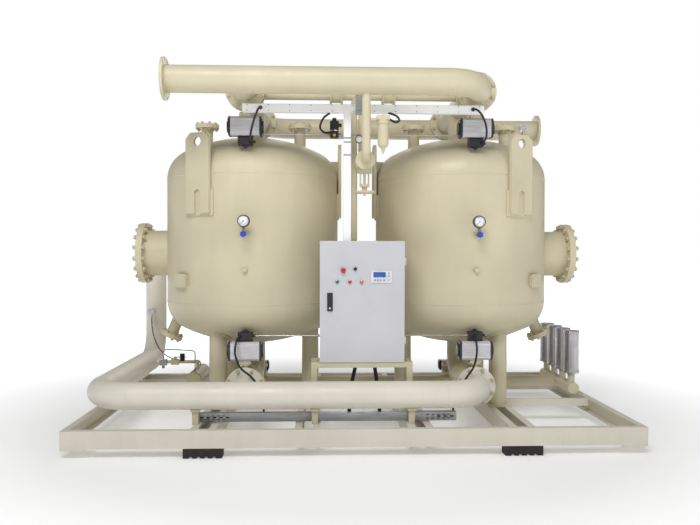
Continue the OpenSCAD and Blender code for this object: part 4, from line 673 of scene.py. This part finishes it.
def make_cables():
    leads = [
        top_lead("lead_left_top", LEFT_X, LEFT_TOP_XS),
        low_lead("lead_left_low", LEFT_X, LEFT_LOW_STEPS, LEFT_LOW_END),
        top_lead("lead_right_top", RIGHT_X, RIGHT_TOP_XS),
        low_lead("lead_right_low", RIGHT_X, RIGHT_LOW_STEPS, RIGHT_LOW_END),
    ]
    trunk_lead("lead_solenoid", SOLENOID_LEAD_STEPS)
    trunk_lead("lead_filter", FILTER_LEAD_STEPS)
    hoses = [hose(*row) for row in HOSES]
    cable("sensor_lead", [SENSOR_TOP + Vector((share * SENSOR_REACH, y, z)) for share, y, z in SENSOR_STEPS],
          SENSOR_CABLE_D, "sensor_cable")
    glands = bmesh.new()
    for routes, diameter in ((leads, LEAD_D), (hoses, HOSE_D)):
        for route in routes:
            add_gland(glands, route[0], route[1] - route[0], diameter)
            add_gland(glands, route[-1], route[-2] - route[-1], diameter)
    piece("lead_glands", whole(glands, "lead_glands"), "black_plastic", "base", False)


# Welds, pads and pipe supports

SEAM_BEAD = {"width": 0.016, "height": 0.0028, "turns": 300}
LEG_RING = 0.540
LEG_ANGLES = (-60, 60, 180)
PAD_IN, PAD_OUT, PAD_T = 0.078, 0.118, 0.012
PAD_SIDES = 48
PAD_SINK = 0.001
SUPPORT_XS = (LEFT_X - 0.355, LEFT_X + 0.595, RIGHT_X - 0.595)
POST_PLAN, SADDLE_PLAN = (0.050, 0.060), (0.070, 0.100)


def head_drop(r):
    """Depth of a head's surface beyond its seam, at a distance from the tower's axis."""
    if r <= CROWN_R * KNUCKLE_AT / (CROWN_R - KNUCKLE_R):
        return math.sqrt(CROWN_R ** 2 - r ** 2) - CROWN_DROP
    return math.sqrt(max(0.0, KNUCKLE_R ** 2 - (r - KNUCKLE_AT) ** 2))


def make_welds():
    towers, low = bmesh.new(), bmesh.new()
    for x in TOWER_XS:
        for z in (SEAM_LOW, SEAM_HIGH):
            add_bead(towers, (x, 0, z), (0, 0, 1), TOWER_R, **SEAM_BEAD)
    for bm, x, y, z, turn in (
        (towers, RIGHT_X, FRONT_Y, TOP_Z, 1), (towers, LEFT_X, REAR_Y, TOP_Z, -1),
        (low, RIGHT_X, FRONT_Y, LOW_Z, 1),
    ):
        add_bead(bm, (x - turn * ELBOW_R, y, z), (1, 0, 0), PIPE_R)
        add_bead(bm, (x, y + turn * ELBOW_R, z), (0, 1, 0), PIPE_R)
    for place, axis in (
        ((RUN_X + ELBOW_R, FRONT_Y, LOW_Z), (1, 0, 0)), ((RUN_X, FRONT_Y + ELBOW_R, LOW_Z), (0, 1, 0)),
        ((RUN_X, RISER_Y - ELBOW_R, LOW_Z), (0, 1, 0)), ((RUN_X, RISER_Y, LOW_Z + ELBOW_R), (0, 0, 1)),
    ):
        add_bead(low, place, axis, PIPE_R)
    piece("weld_beads", whole(towers, "weld_beads"), "cream_paint", "base")
    # the header's welds share the paler cream: painted light
    piece("header_weld_beads", whole(low, "header_weld_beads"), "painted_light_cream", "base")


def add_leg_pad(bm, x, leg):
    """Adds a curved ring that follows the lower head round one leg."""
    section = ((PAD_IN, -PAD_SINK), (PAD_OUT, -PAD_SINK), (PAD_OUT, PAD_T), (PAD_IN, PAD_T))
    rings = []
    for k in range(PAD_SIDES):
        ring = []
        for reach, below in section:
            at = leg + round_point(reach, k / PAD_SIDES, 0)
            ring.append(bm.verts.new((x + at.x, at.y, SEAM_LOW - head_drop(at.length) - below)))
        rings.append(ring)
    for here, after in zip(rings, rings[1:] + rings[:1]):
        for c in range(len(section)):
            n = (c + 1) % len(section)
            bm.faces.new((here[c], after[c], after[n], here[n]))


def make_leg_pads():
    bm = bmesh.new()
    for x, side in zip(TOWER_XS, (-1, 1)):
        for angle in LEG_ANGLES:
            a = math.radians(angle)
            add_leg_pad(bm, x, Vector((side * LEG_RING * math.cos(a), LEG_RING * math.sin(a), 0)))
    piece("leg_pads", whole(bm, "leg_pads"), "cream_paint", "base", False)


def make_pipe_supports():
    """Short posts with saddles that carry the lower header on the bearers."""
    bm = bmesh.new()
    bottom = LOW_Z - PIPE_R
    for x in SUPPORT_XS:
        add_column(bm, x, FRONT_Y, POST_PLAN, (BEAM_TOP, bottom + 0.004), 0.002)
        add_column(bm, x, FRONT_Y, SADDLE_PLAN, (bottom - 0.012, bottom + 0.008), 0.002)
    piece("pipe_supports", whole(bm, "pipe_supports"), "cream_paint", "base", False)


# Instrument-air drop behind the cabinet

DROP_X, DROP_Y, DROP_R = BYPASS_X - 0.071, -0.550, 0.027
DROP_FOOT = 0.620
STAND_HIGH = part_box("cabinet_stand")[1]
CLAMP_Z = STAND_HIGH.z - 0.030

# Pipe, cap and clamp: lower and upper end, radius, sides
DROP_RODS = (
    (DROP_FOOT, TOP_Z - 0.020, DROP_R, 40), (DROP_FOOT - 0.030, DROP_FOOT + 0.020, DROP_R + 0.006, 8),
    (CLAMP_Z - 0.018, CLAMP_Z + 0.018, DROP_R + 0.004, 40))
BRACKET_W, BRACKET_T, BRACKET_LAP = 0.040, 0.008, 0.010
DROP_BEAD_Z = TOP_Z - 0.060
DROP_BEAD = {"width": 0.008, "height": 0.002, "turns": 60}


def make_air_drop():
    """A pipe down from the crossover, capped below and held by a bracket on the cabinet's stand."""
    bm = bmesh.new()
    for low, high, radius, sides in DROP_RODS:
        add_rod(bm, (DROP_X, DROP_Y, low), (DROP_X, DROP_Y, high), radius, sides)
    add_box(bm, (DROP_X - BRACKET_W / 2, STAND_HIGH.y - BRACKET_LAP, CLAMP_Z - BRACKET_T / 2),
            (DROP_X + BRACKET_W / 2, DROP_Y + BRACKET_LAP, CLAMP_Z + BRACKET_T / 2), 0.001)
    add_bead(bm, (DROP_X, DROP_Y, DROP_BEAD_Z), (0, 0, 1), DROP_R, **DROP_BEAD)
    piece("air_drop", whole(bm, "air_drop"), "cream_paint", "base")


# Trunking and tray trim

HANGER_X, HANGER_W = BYPASS_X - 0.050, 0.058
GRIP_Z = TOP_Z - 0.082
RISER_X, RISER_STRAP_W = BYPASS_X - 0.145, 0.060
RISER_JOINTS = (0.36, 0.42, 0.60)
RISER_SPREAD = 0.55
LID_SCREWS, LID_SCREW_IN, LID_SCREW_R = 12, 0.040, 0.0045
SLOT_PITCH, SLOT_SIZE = 0.052, (0.028, 0.0018, 0.012)


def make_trunk_hanger():
    """A strap from the header above, down the lid and under the trunking, with its bolt."""
    front, bottom = TRUNK_LOW.y, TRUNK_BOTTOM
    left, right = HANGER_X - HANGER_W / 2, HANGER_X + HANGER_W / 2
    reach = FRONT_Y + math.sqrt(PIPE_R ** 2 - (TOP_Z - GRIP_Z) ** 2)
    bm = bmesh.new()
    add_box(bm, (left, front - 0.004, bottom - 0.010), (right, front, GRIP_Z + 0.003), 0.001)
    add_box(bm, (left, reach - 0.006, GRIP_Z - 0.001), (right, front, GRIP_Z + 0.003), 0.001)
    add_box(bm, (left, front - 0.004, bottom - 0.012), (right, TRUNK_HIGH.y - 0.010, bottom - 0.009), 0.001)
    bolt_z = bottom + TRUNK_H / 2 + 0.0005
    add_rod(bm, (HANGER_X, front - 0.002, bolt_z), (HANGER_X, front - 0.010, bolt_z), 0.009, 6)
    piece("trunk_hangers", whole(bm, "trunk_hangers"), "galvanised", "base", False)


def make_trunk_straps():
    """Cover straps at the riser's joints, and the lid's screws."""
    front, bottom = TRUNK_LOW.y, TRUNK_BOTTOM
    bm = bmesh.new()
    for share in RISER_JOINTS:
        z = CABINET_HIGH.z + (bottom - CABINET_HIGH.z) * (1 - share * RISER_SPREAD)
        add_block(bm, (RISER_X, front - 0.0001, z), (RISER_STRAP_W, 0.0022, 0.012), 0.0004)
    pitch = (TRUNK_HIGH.x - TRUNK_LOW.x - 2 * LID_SCREW_IN) / (LID_SCREWS - 1)
    for k in range(LID_SCREWS):
        x = TRUNK_LOW.x + LID_SCREW_IN + k * pitch
        for z in (bottom + 0.010, TRUNK_HIGH.z - 0.010):
            add_rod(bm, (x, front + 0.001, z), (x, front - 0.0025, z), LID_SCREW_R, 14)
    piece("trunk_straps", whole(bm, "trunk_straps"), "grey_plastic", "base", False)


def make_tray_slot_shade():
    """Dark patches where the slots are punched near the tray's ends: painted shade for the dark inside the
    slots.
    """
    bm = bmesh.new()
    for start, step, count in ((TRAY_LOW.x + 0.060, SLOT_PITCH, 5), (TRAY_HIGH.x - 0.040, -SLOT_PITCH, 3)):
        for k in range(count):
            add_block(bm, (start + k * step, TRAY_LOW.y + 0.0001, TRAY_Z), SLOT_SIZE, 0.0004)
    # black patches standing for the shade seen inside the slots: painted shade
    piece("tray_slot_shade", whole(bm, "tray_slot_shade"), "black_plastic", "base", False)


# Small fittings on the valves, the control-air tube, the rear header and the drain

BEACON_FROM_AXIS = 0.466
SOLENOID_AT = Vector((BYPASS_X - 0.250, VALVE_Y, AIR_TUBE_Z))
SOLENOID_BLOCKS = (((0, 0, 0), (0.072, 0.060, 0.060), 0.004), ((0, 0, 0.0775), (0.076, 0.060, 0.075), 0.006))
SOLENOID_RODS = (((0, 0, 0.110), (0, 0, 0.140), 0.018), ((0.030, 0, 0.080), (0.062, 0, 0.080), 0.016))
SOLENOID_NUTS = (
    ((0, 0, 0.025), (0, 0, 0.045), 0.024, 6), ((-0.036, 0, 0), (-0.060, 0, 0), 0.014, 6),
    ((0.036, 0, 0), (0.060, 0, 0), 0.014, 6))
SOLENOID_DOME = ((0, 0.012), (0.010, 0.009), (0.014, 0), (0, 0))
LINE_GAUGE_AT = Vector((BYPASS_X - 0.040, VALVE_Y - 0.030, AIR_TUBE_Z - 0.042))
LINE_GAUGE_CASE = (
    (0, -0.024), (0.030, -0.024), (0.033, -0.018), (0.033, 0.002), (0.029, 0.002), (0.029, -0.001),
    (0, -0.001))
LINE_GAUGE_FACE = ((0, -0.0008), (0.0288, -0.0008), (0.0288, 0.0), (0, 0.0))
REAR_SENSOR_AT = (RIGHT_X + 0.880, REAR_Y - PIPE_R, TOP_Z)
REAR_SENSOR_RODS = (
    ((0, 0.004, 0), (0, -0.030, 0), 0.022, 6), ((0, -0.028, 0), (0, -0.075, 0), 0.014),
    ((0, -0.070, -0.006), (0, -0.130, -0.006), 0.040, 40, 0.036),
    ((0, -0.100, -0.040), (0, -0.100, -0.085), 0.014, 20))


def make_beacons():
    """Pointed position beacons on the front switch boxes."""
    bm = bmesh.new()
    for x in TOWER_XS:
        for z, way in ((TOP_Z - BEACON_FROM_AXIS, -1), (LOW_Z + BEACON_FROM_AXIS, 1)):
            add_fitting(bm, (x, VALVE_Y, z), rods=(
                ((0, 0, -0.002 * way), (0, 0, 0.006 * way), 0.034, 28),
                ((0, 0, 0.005 * way), (0, 0, 0.026 * way), 0.028, 28, 0.007)))
    piece("beacons", whole(bm, "beacons"), "black_plastic", "base", False)


def make_solenoid():
    body, nuts = bmesh.new(), bmesh.new()
    add_fitting(body, SOLENOID_AT, SOLENOID_BLOCKS, SOLENOID_RODS)
    piece("solenoid", whole(body, "solenoid"), "black_plastic", "base", False)
    add_fitting(nuts, SOLENOID_AT, rods=SOLENOID_NUTS)
    piece("solenoid_nuts", whole(nuts, "solenoid_nuts"), "chrome", "base", False)
    dome_at = facing_front(SOLENOID_AT + Vector((0, -0.030, -0.008)))
    piece("solenoid_dome", finished(lathe(SOLENOID_DOME, 24), "dome", dome_at), "yellow_plastic", "base")


def make_line_gauge():
    at = LINE_GAUGE_AT
    piece("line_gauge_case", finished(lathe(LINE_GAUGE_CASE), "case", facing_front(at)), "gauge_case", "base")
    piece("line_gauge_dial", finished(lathe(LINE_GAUGE_FACE), "face", facing_front(at)), "dial_white", "base")
    stem = bmesh.new()
    add_rod(stem, at + Vector((0, 0.012, 0.030)), (at.x, at.y + 0.026, AIR_TUBE_Z), 0.007)
    piece("line_gauge_stem", whole(stem, "stem"), "brass", "base")
    needle = bmesh.new()
    add_block(needle, at + Vector((0, -0.0007, 0.007)), (0.002, 0.001, 0.026))
    piece("line_gauge_needle", whole(needle, "needle"), "ink", "base", False)


def make_rear_sensor():
    bm = bmesh.new()
    add_fitting(bm, REAR_SENSOR_AT, rods=REAR_SENSOR_RODS)
    piece("rear_sensor", whole(bm, "rear_sensor"), "chrome", "base", False)


# Drain gear on the inlet run

DRAIN_AT = Vector((RUN_X + 0.190, JOINT["drain_turn"].y, LOW_Z))
DRAIN_BOX = (((-0.0075, -0.040, 0.0025), (0.075, 0.044, 0.065), 0.005),)
DRAIN_NUT = (((-0.008, -0.040, -0.028), (-0.008, -0.040, -0.060), 0.016, 6),)
DRAIN_COIL = (((0.075, 0, 0.012), (0.075, 0, 0.085), 0.026, 28),)
DRAIN_POT_X, DRAIN_POT_TOP = 0.340, BEAM_TOP + 0.159 - LOW_Z
DRAIN_TUBE_R = 0.006
DRAIN_TUBE = (
    (-0.008, -0.040, 0.034), (-0.008, -0.040, 0.110), (0.010, -0.045, 0.132), (0.030, -0.052, 0.138),
    (DRAIN_POT_X - 0.040, -0.150, 0.138), (DRAIN_POT_X - 0.012, -0.157, 0.132), (DRAIN_POT_X, -0.160, 0.110),
    (DRAIN_POT_X, -0.160, DRAIN_POT_TOP - 0.004))


def make_drain_gear():
    """A timer head on the drain valve, its coil, and the balance tube to the pot."""
    head, coil, tube = bmesh.new(), bmesh.new(), bmesh.new()
    add_fitting(head, DRAIN_AT, DRAIN_BOX, DRAIN_NUT)
    piece("drain_head", whole(head, "drain_head"), "stainless", "base", False)
    add_fitting(coil, (JOINT["drain_turn"].x, DRAIN_AT.y, DRAIN_AT.z), rods=DRAIN_COIL)
    piece("drain_coil", whole(coil, "drain_coil"), "black_plastic", "base", False)
    route = [DRAIN_AT + Vector(point) for point in DRAIN_TUBE]
    for a, b in zip(route, route[1:]):
        add_rod(tube, a, b, DRAIN_TUBE_R, 16)
    for joint in route[1:-1]:
        ball = bmesh.ops.create_uvsphere(tube, u_segments=16, v_segments=8, radius=DRAIN_TUBE_R)["verts"]
        bmesh.ops.translate(tube, verts=ball, vec=joint)
    piece("drain_tube", whole(tube, "drain_tube"), "stainless", "base")


# Control gear and glands of the cabinet

GEAR_ROWS = (0.28, 0.52, 0.76)
RELAY_ROW = 2
GEAR_RAIL_H, GEAR_INSET, GEAR_COUNT = 0.036, 0.030, 6
GEAR_DEPTH = 0.078
GEAR_NOSE, GEAR_TOGGLE, RELAY_FACE = (0.060, 0.009, 0.044), (0.010, 0.009, 0.014), (0.032, 0.004, 0.024)
TOGGLE_RISE, SCREW_R = 0.003, 0.0048
POLES, POLE_PITCH, SCREW_RISE = (-1, 0, 1), 0.019, 0.036
DUCT_ROWS = (0.175, 0.418, 0.658, 0.87)
DUCT_IN, DUCT_HALF, DUCT_OUT = 0.012, 0.020, 0.046
DUCT_TEETH, TOOTH_IN, TOOTH_OUT, TOOTH_SIZE = 26, 0.030, 0.022, (0.010, 0.036, 0.006)
GLAND_COUNT, GLAND_PITCH, GLAND_IN, GLAND_Y = 9, 0.065, 0.090, -0.800
GLAND_RODS = (((0, 0, 0.001), (0, 0, -0.012), 0.014, 6), ((0, 0, -0.010), (0, 0, -0.034), 0.011, 20, 0.008))


def make_gear_faces():
    """Noses, toggles and terminal screws on the rows of control gear."""
    low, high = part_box("control_gear")
    front = low.y
    pitch = (high.x - low.x - 2 * GEAR_INSET) / GEAR_COUNT
    noses, toggles, screws = bmesh.new(), bmesh.new(), bmesh.new()
    for row, share in enumerate(GEAR_ROWS):
        z = CABINET_LOW.z + share + GEAR_RAIL_H / 2
        for k in range(GEAR_COUNT):
            x = low.x + GEAR_INSET + (k + 0.5) * pitch
            add_block(noses, (x, front - 0.0035, z), GEAR_NOSE, 0.001)
            for at in (x + pole * POLE_PITCH for pole in POLES):
                if row != RELAY_ROW:
                    add_block(toggles, (at, front - 0.0115, z + TOGGLE_RISE), GEAR_TOGGLE, 0.001)
                for end in (z - SCREW_RISE, z + SCREW_RISE):
                    add_rod(screws, (at, front + 0.001, end), (at, front - 0.002, end), SCREW_R, 16)
            if row == RELAY_ROW:
                add_block(toggles, (x, front - 0.009, z), RELAY_FACE, 0.001)
    piece("gear_noses", whole(noses, "gear_noses"), "white_plastic", "base", False)
    piece("gear_toggles", whole(toggles, "gear_toggles"), "black_plastic", "base", False)
    piece("gear_screws", whole(screws, "gear_screws"), "brass", "base", False)


def make_wire_ducts():
    """Slotted wire ducts above, between and below the rows of control gear."""
    low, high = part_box("control_gear")
    plate = low.y + GEAR_DEPTH
    pitch = (high.x - low.x - 2 * TOOTH_IN) / (DUCT_TEETH - 1)
    bm = bmesh.new()
    for share in DUCT_ROWS:
        z = CABINET_LOW.z + share
        add_box(bm, (low.x + DUCT_IN, plate - DUCT_OUT, z - DUCT_HALF),
                (high.x - DUCT_IN, plate + 0.001, z + DUCT_HALF), 0.001)
        for k in range(DUCT_TEETH):
            x = low.x + TOOTH_IN + k * pitch
            for edge in (z - DUCT_HALF, z + DUCT_HALF):
                add_block(bm, (x, plate - TOOTH_OUT, edge), TOOTH_SIZE, 0.0006)
    piece("wire_ducts", whole(bm, "wire_ducts"), "grey_plastic", "base", False)


def make_glands():
    """Cable glands in a row under the cabinet."""
    bm = bmesh.new()
    for k in range(GLAND_COUNT):
        add_fitting(bm, (CABINET_LOW.x + GLAND_IN + k * GLAND_PITCH, GLAND_Y, CABINET_LOW.z), rods=GLAND_RODS)
    piece("cable_glands", whole(bm, "cable_glands"), "brass", "base", False)


# Door fittings

DOOR_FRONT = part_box("cabinet_door")[0].y
BUTTONS = ("estop_button", "selector_knob", "start_button", "stop_button")
BEZEL = (
    (0.0131, 0.0070), (0.0131, 0.0083), (0.0160, 0.0083), (0.0178, 0.0062), (0.0178, 0.0),
    (0.0131, 0.0070))
LAMP_AT = (0.492, 0.662)
LAMP_LENS = ((0, 0.0215), (0.006, 0.0208), (0.011, 0.0180), (0.0128, 0.0130), (0.0128, 0.0078), (0, 0.0078))
DISPLAY_AT = (0.725, 0.706)
DISPLAY_OUT = 0.0086
SCREEN_FROM_MID = Vector((-0.016, 0, 0.016))
KEY_SIZE, KEY_OUT = (0.016, 0.012), 0.0016
KEYS = [(-0.054 + k * 0.025, -0.028) for k in range(4)] + [(0.060, 0.028 - k * 0.022) for k in range(2)]
STATUS_LIGHT = Vector((0.060, 0, -0.028))
LATCH_PLATE, LATCH_PLATE_DROP, LATCH_LOCK_DROP = (0.046, 0.152), 0.053, 0.104
LATCH_LOCK = ((0, 0.0182), (0.0078, 0.0182), (0.0086, 0.0172), (0.0086, 0.0120), (0, 0.0120))


def on_door(u, v, out=0.0):
    """A place on the door: shares of its width and height, and a distance out from it."""
    return Vector((CABINET_LOW.x + u * DOOR_W, DOOR_FRONT - out, CABINET_LOW.z + v * DOOR_H))


def add_door_plate(bm, centre, size, out, thick, edge=0.0):
    """Adds a plate on the door, from a distance out to that and its thickness."""
    width, height = size
    add_block(bm, (centre.x, DOOR_FRONT - out - thick / 2, centre.z), (width, thick, height), edge)


def door_plate(name, centre, size, out, thick, material, edge=0.0):
    bm = bmesh.new()
    add_door_plate(bm, centre, size, out, thick, edge)
    return piece(name, whole(bm, name), material, "door", False)


def add_bezel(bm, place):
    mesh = finished(lathe(BEZEL, 40), "bezel", facing_front(place))
    bm.from_mesh(mesh)
    bpy.data.meshes.remove(mesh)


def make_bezels():
    rings = bmesh.new()
    for node in BUTTONS:
        low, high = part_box(node)
        add_bezel(rings, Vector(((low.x + high.x) / 2, DOOR_FRONT, (low.z + high.z) / 2)))
    add_bezel(rings, on_door(*LAMP_AT))
    piece("button_bezels", whole(rings, "button_bezels"), "chrome", "door")
    lens = finished(lathe(LAMP_LENS, 32), "lamp_lens", facing_front(on_door(*LAMP_AT)))
    piece("lamp_lens", lens, "orange_lens", "door")


def make_display():
    at, face = on_door(*DISPLAY_AT), DISPLAY_OUT
    door_plate("display_plate", at, (0.172, 0.104), 0.0, face, "panel_grey", 0.002)
    screen = at + SCREEN_FROM_MID
    door_plate("display_frame", screen, (0.104, 0.046), face, 0.0010, "grey_plastic", 0.0004)
    door_plate("display_screen", screen, (0.098, 0.040), face + 0.0008, 0.0008, "screen_blue")
    keys = bmesh.new()
    for x, z in KEYS:
        add_door_plate(keys, at + Vector((x, 0, z)), KEY_SIZE, face, KEY_OUT, 0.0006)
    piece("display_keys", whole(keys, "display_keys"), "grey_plastic", "door", False)
    door_plate("display_light", at + STATUS_LIGHT, (0.010, 0.008), face, 0.0012, "green_plastic", 0.0004)


def make_latch():
    pin = JOINT["handle_turn"]
    plate_at = Vector((pin.x, 0, pin.z - LATCH_PLATE_DROP))
    door_plate("latch_plate", plate_at, LATCH_PLATE, 0.0, 0.0042, "black_plastic", 0.001)
    lock_at = Vector((pin.x, DOOR_FRONT, pin.z - LATCH_LOCK_DROP))
    lock = finished(lathe(LATCH_LOCK, 32), "latch_lock", facing_front(lock_at))
    piece("latch_lock", lock, "chrome", "door_handle")


# Pressure gauges: dial, ticks, needle and glass

GAUGE_R, GAUGE_RIM = 0.05, 0.003
GAUGE_FACE_IN = 0.005
DIAL_R, DIAL_T = 0.0445, 0.0008
TICKS, TICKS_FROM, TICKS_SWEEP, LONG_TICK_EVERY = 17, 225, 270, 4
TICKS_OUT, TICK_RISE = DIAL_R - 0.004, 0.0010
LONG_TICK, SHORT_TICK = (0.008, 0.0016, 0.0006), (0.004, 0.0009, 0.0006)
NEEDLE, NEEDLE_OUT, NEEDLE_RISE = (0.044, 0.003, 0.0008), 0.012, 0.0022
GLASS = ((0, 0.0042), (0.030, 0.0038), (DIAL_R, 0.0030), (DIAL_R, 0.0022), (0.030, 0.0028), (0, 0.0032))


def add_mark(bm, size, out, rise, degrees):
    """Adds a bar that points out from the dial's middle."""
    bar = bmesh.ops.create_cube(bm, size=1)["verts"]
    bmesh.ops.scale(bm, verts=bar, vec=size)
    bmesh.ops.translate(bm, verts=bar, vec=(out, 0, rise))
    bmesh.ops.rotate(bm, verts=bar, matrix=Matrix.Rotation(math.radians(degrees), 3, "Z"))


def gauge_dial(index, x, front, z):
    face = front + GAUGE_FACE_IN
    on_face = facing_front((x, face - 0.0002, z))
    dial = lathe([(0, 0), (DIAL_R, 0), (DIAL_R, DIAL_T), (0, DIAL_T)])
    piece(f"gauge_dial_{index}", finished(dial, "dial", on_face), "dial_white", "base")
    marks = bmesh.new()
    for k in range(TICKS):
        size = SHORT_TICK if k % LONG_TICK_EVERY else LONG_TICK
        turned = TICKS_FROM - k * TICKS_SWEEP / (TICKS - 1)
        add_mark(marks, size, TICKS_OUT - size[0] / 2, TICK_RISE, turned)
    add_mark(marks, NEEDLE, NEEDLE_OUT, NEEDLE_RISE, TICKS_FROM)
    hub = bmesh.ops.create_cone(marks, cap_ends=True, segments=20, radius1=0.005, radius2=0.004, depth=0.003)
    bmesh.ops.translate(marks, verts=hub["verts"], vec=(0, 0, NEEDLE_RISE))
    piece(f"gauge_marks_{index}", finished(marks, "marks", on_face), "ink", "base", False)
    lens = finished(lathe(GLASS), "lens", facing_front((x, face, z)))
    piece(f"gauge_glass_{index}", lens, "glass", "base")


def make_gauges():
    low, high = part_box("pressure_gauges")
    for index, x in enumerate(TOWER_XS):
        gauge_dial(index, x, low.y, high.z - GAUGE_R - GAUGE_RIM)


make_camera()
make_materials()
make_cables()
make_studio()
dress_frame()
make_welds()
make_leg_pads()
make_pipe_supports()
make_air_drop()
make_trunk_hanger()
make_trunk_straps()
make_tray_slot_shade()
make_beacons()
make_gauges()
make_solenoid()
make_line_gauge()
make_rear_sensor()
make_drain_gear()
make_glands()
make_gear_faces()
make_wire_ducts()
make_bezels()
make_display()
make_latch()
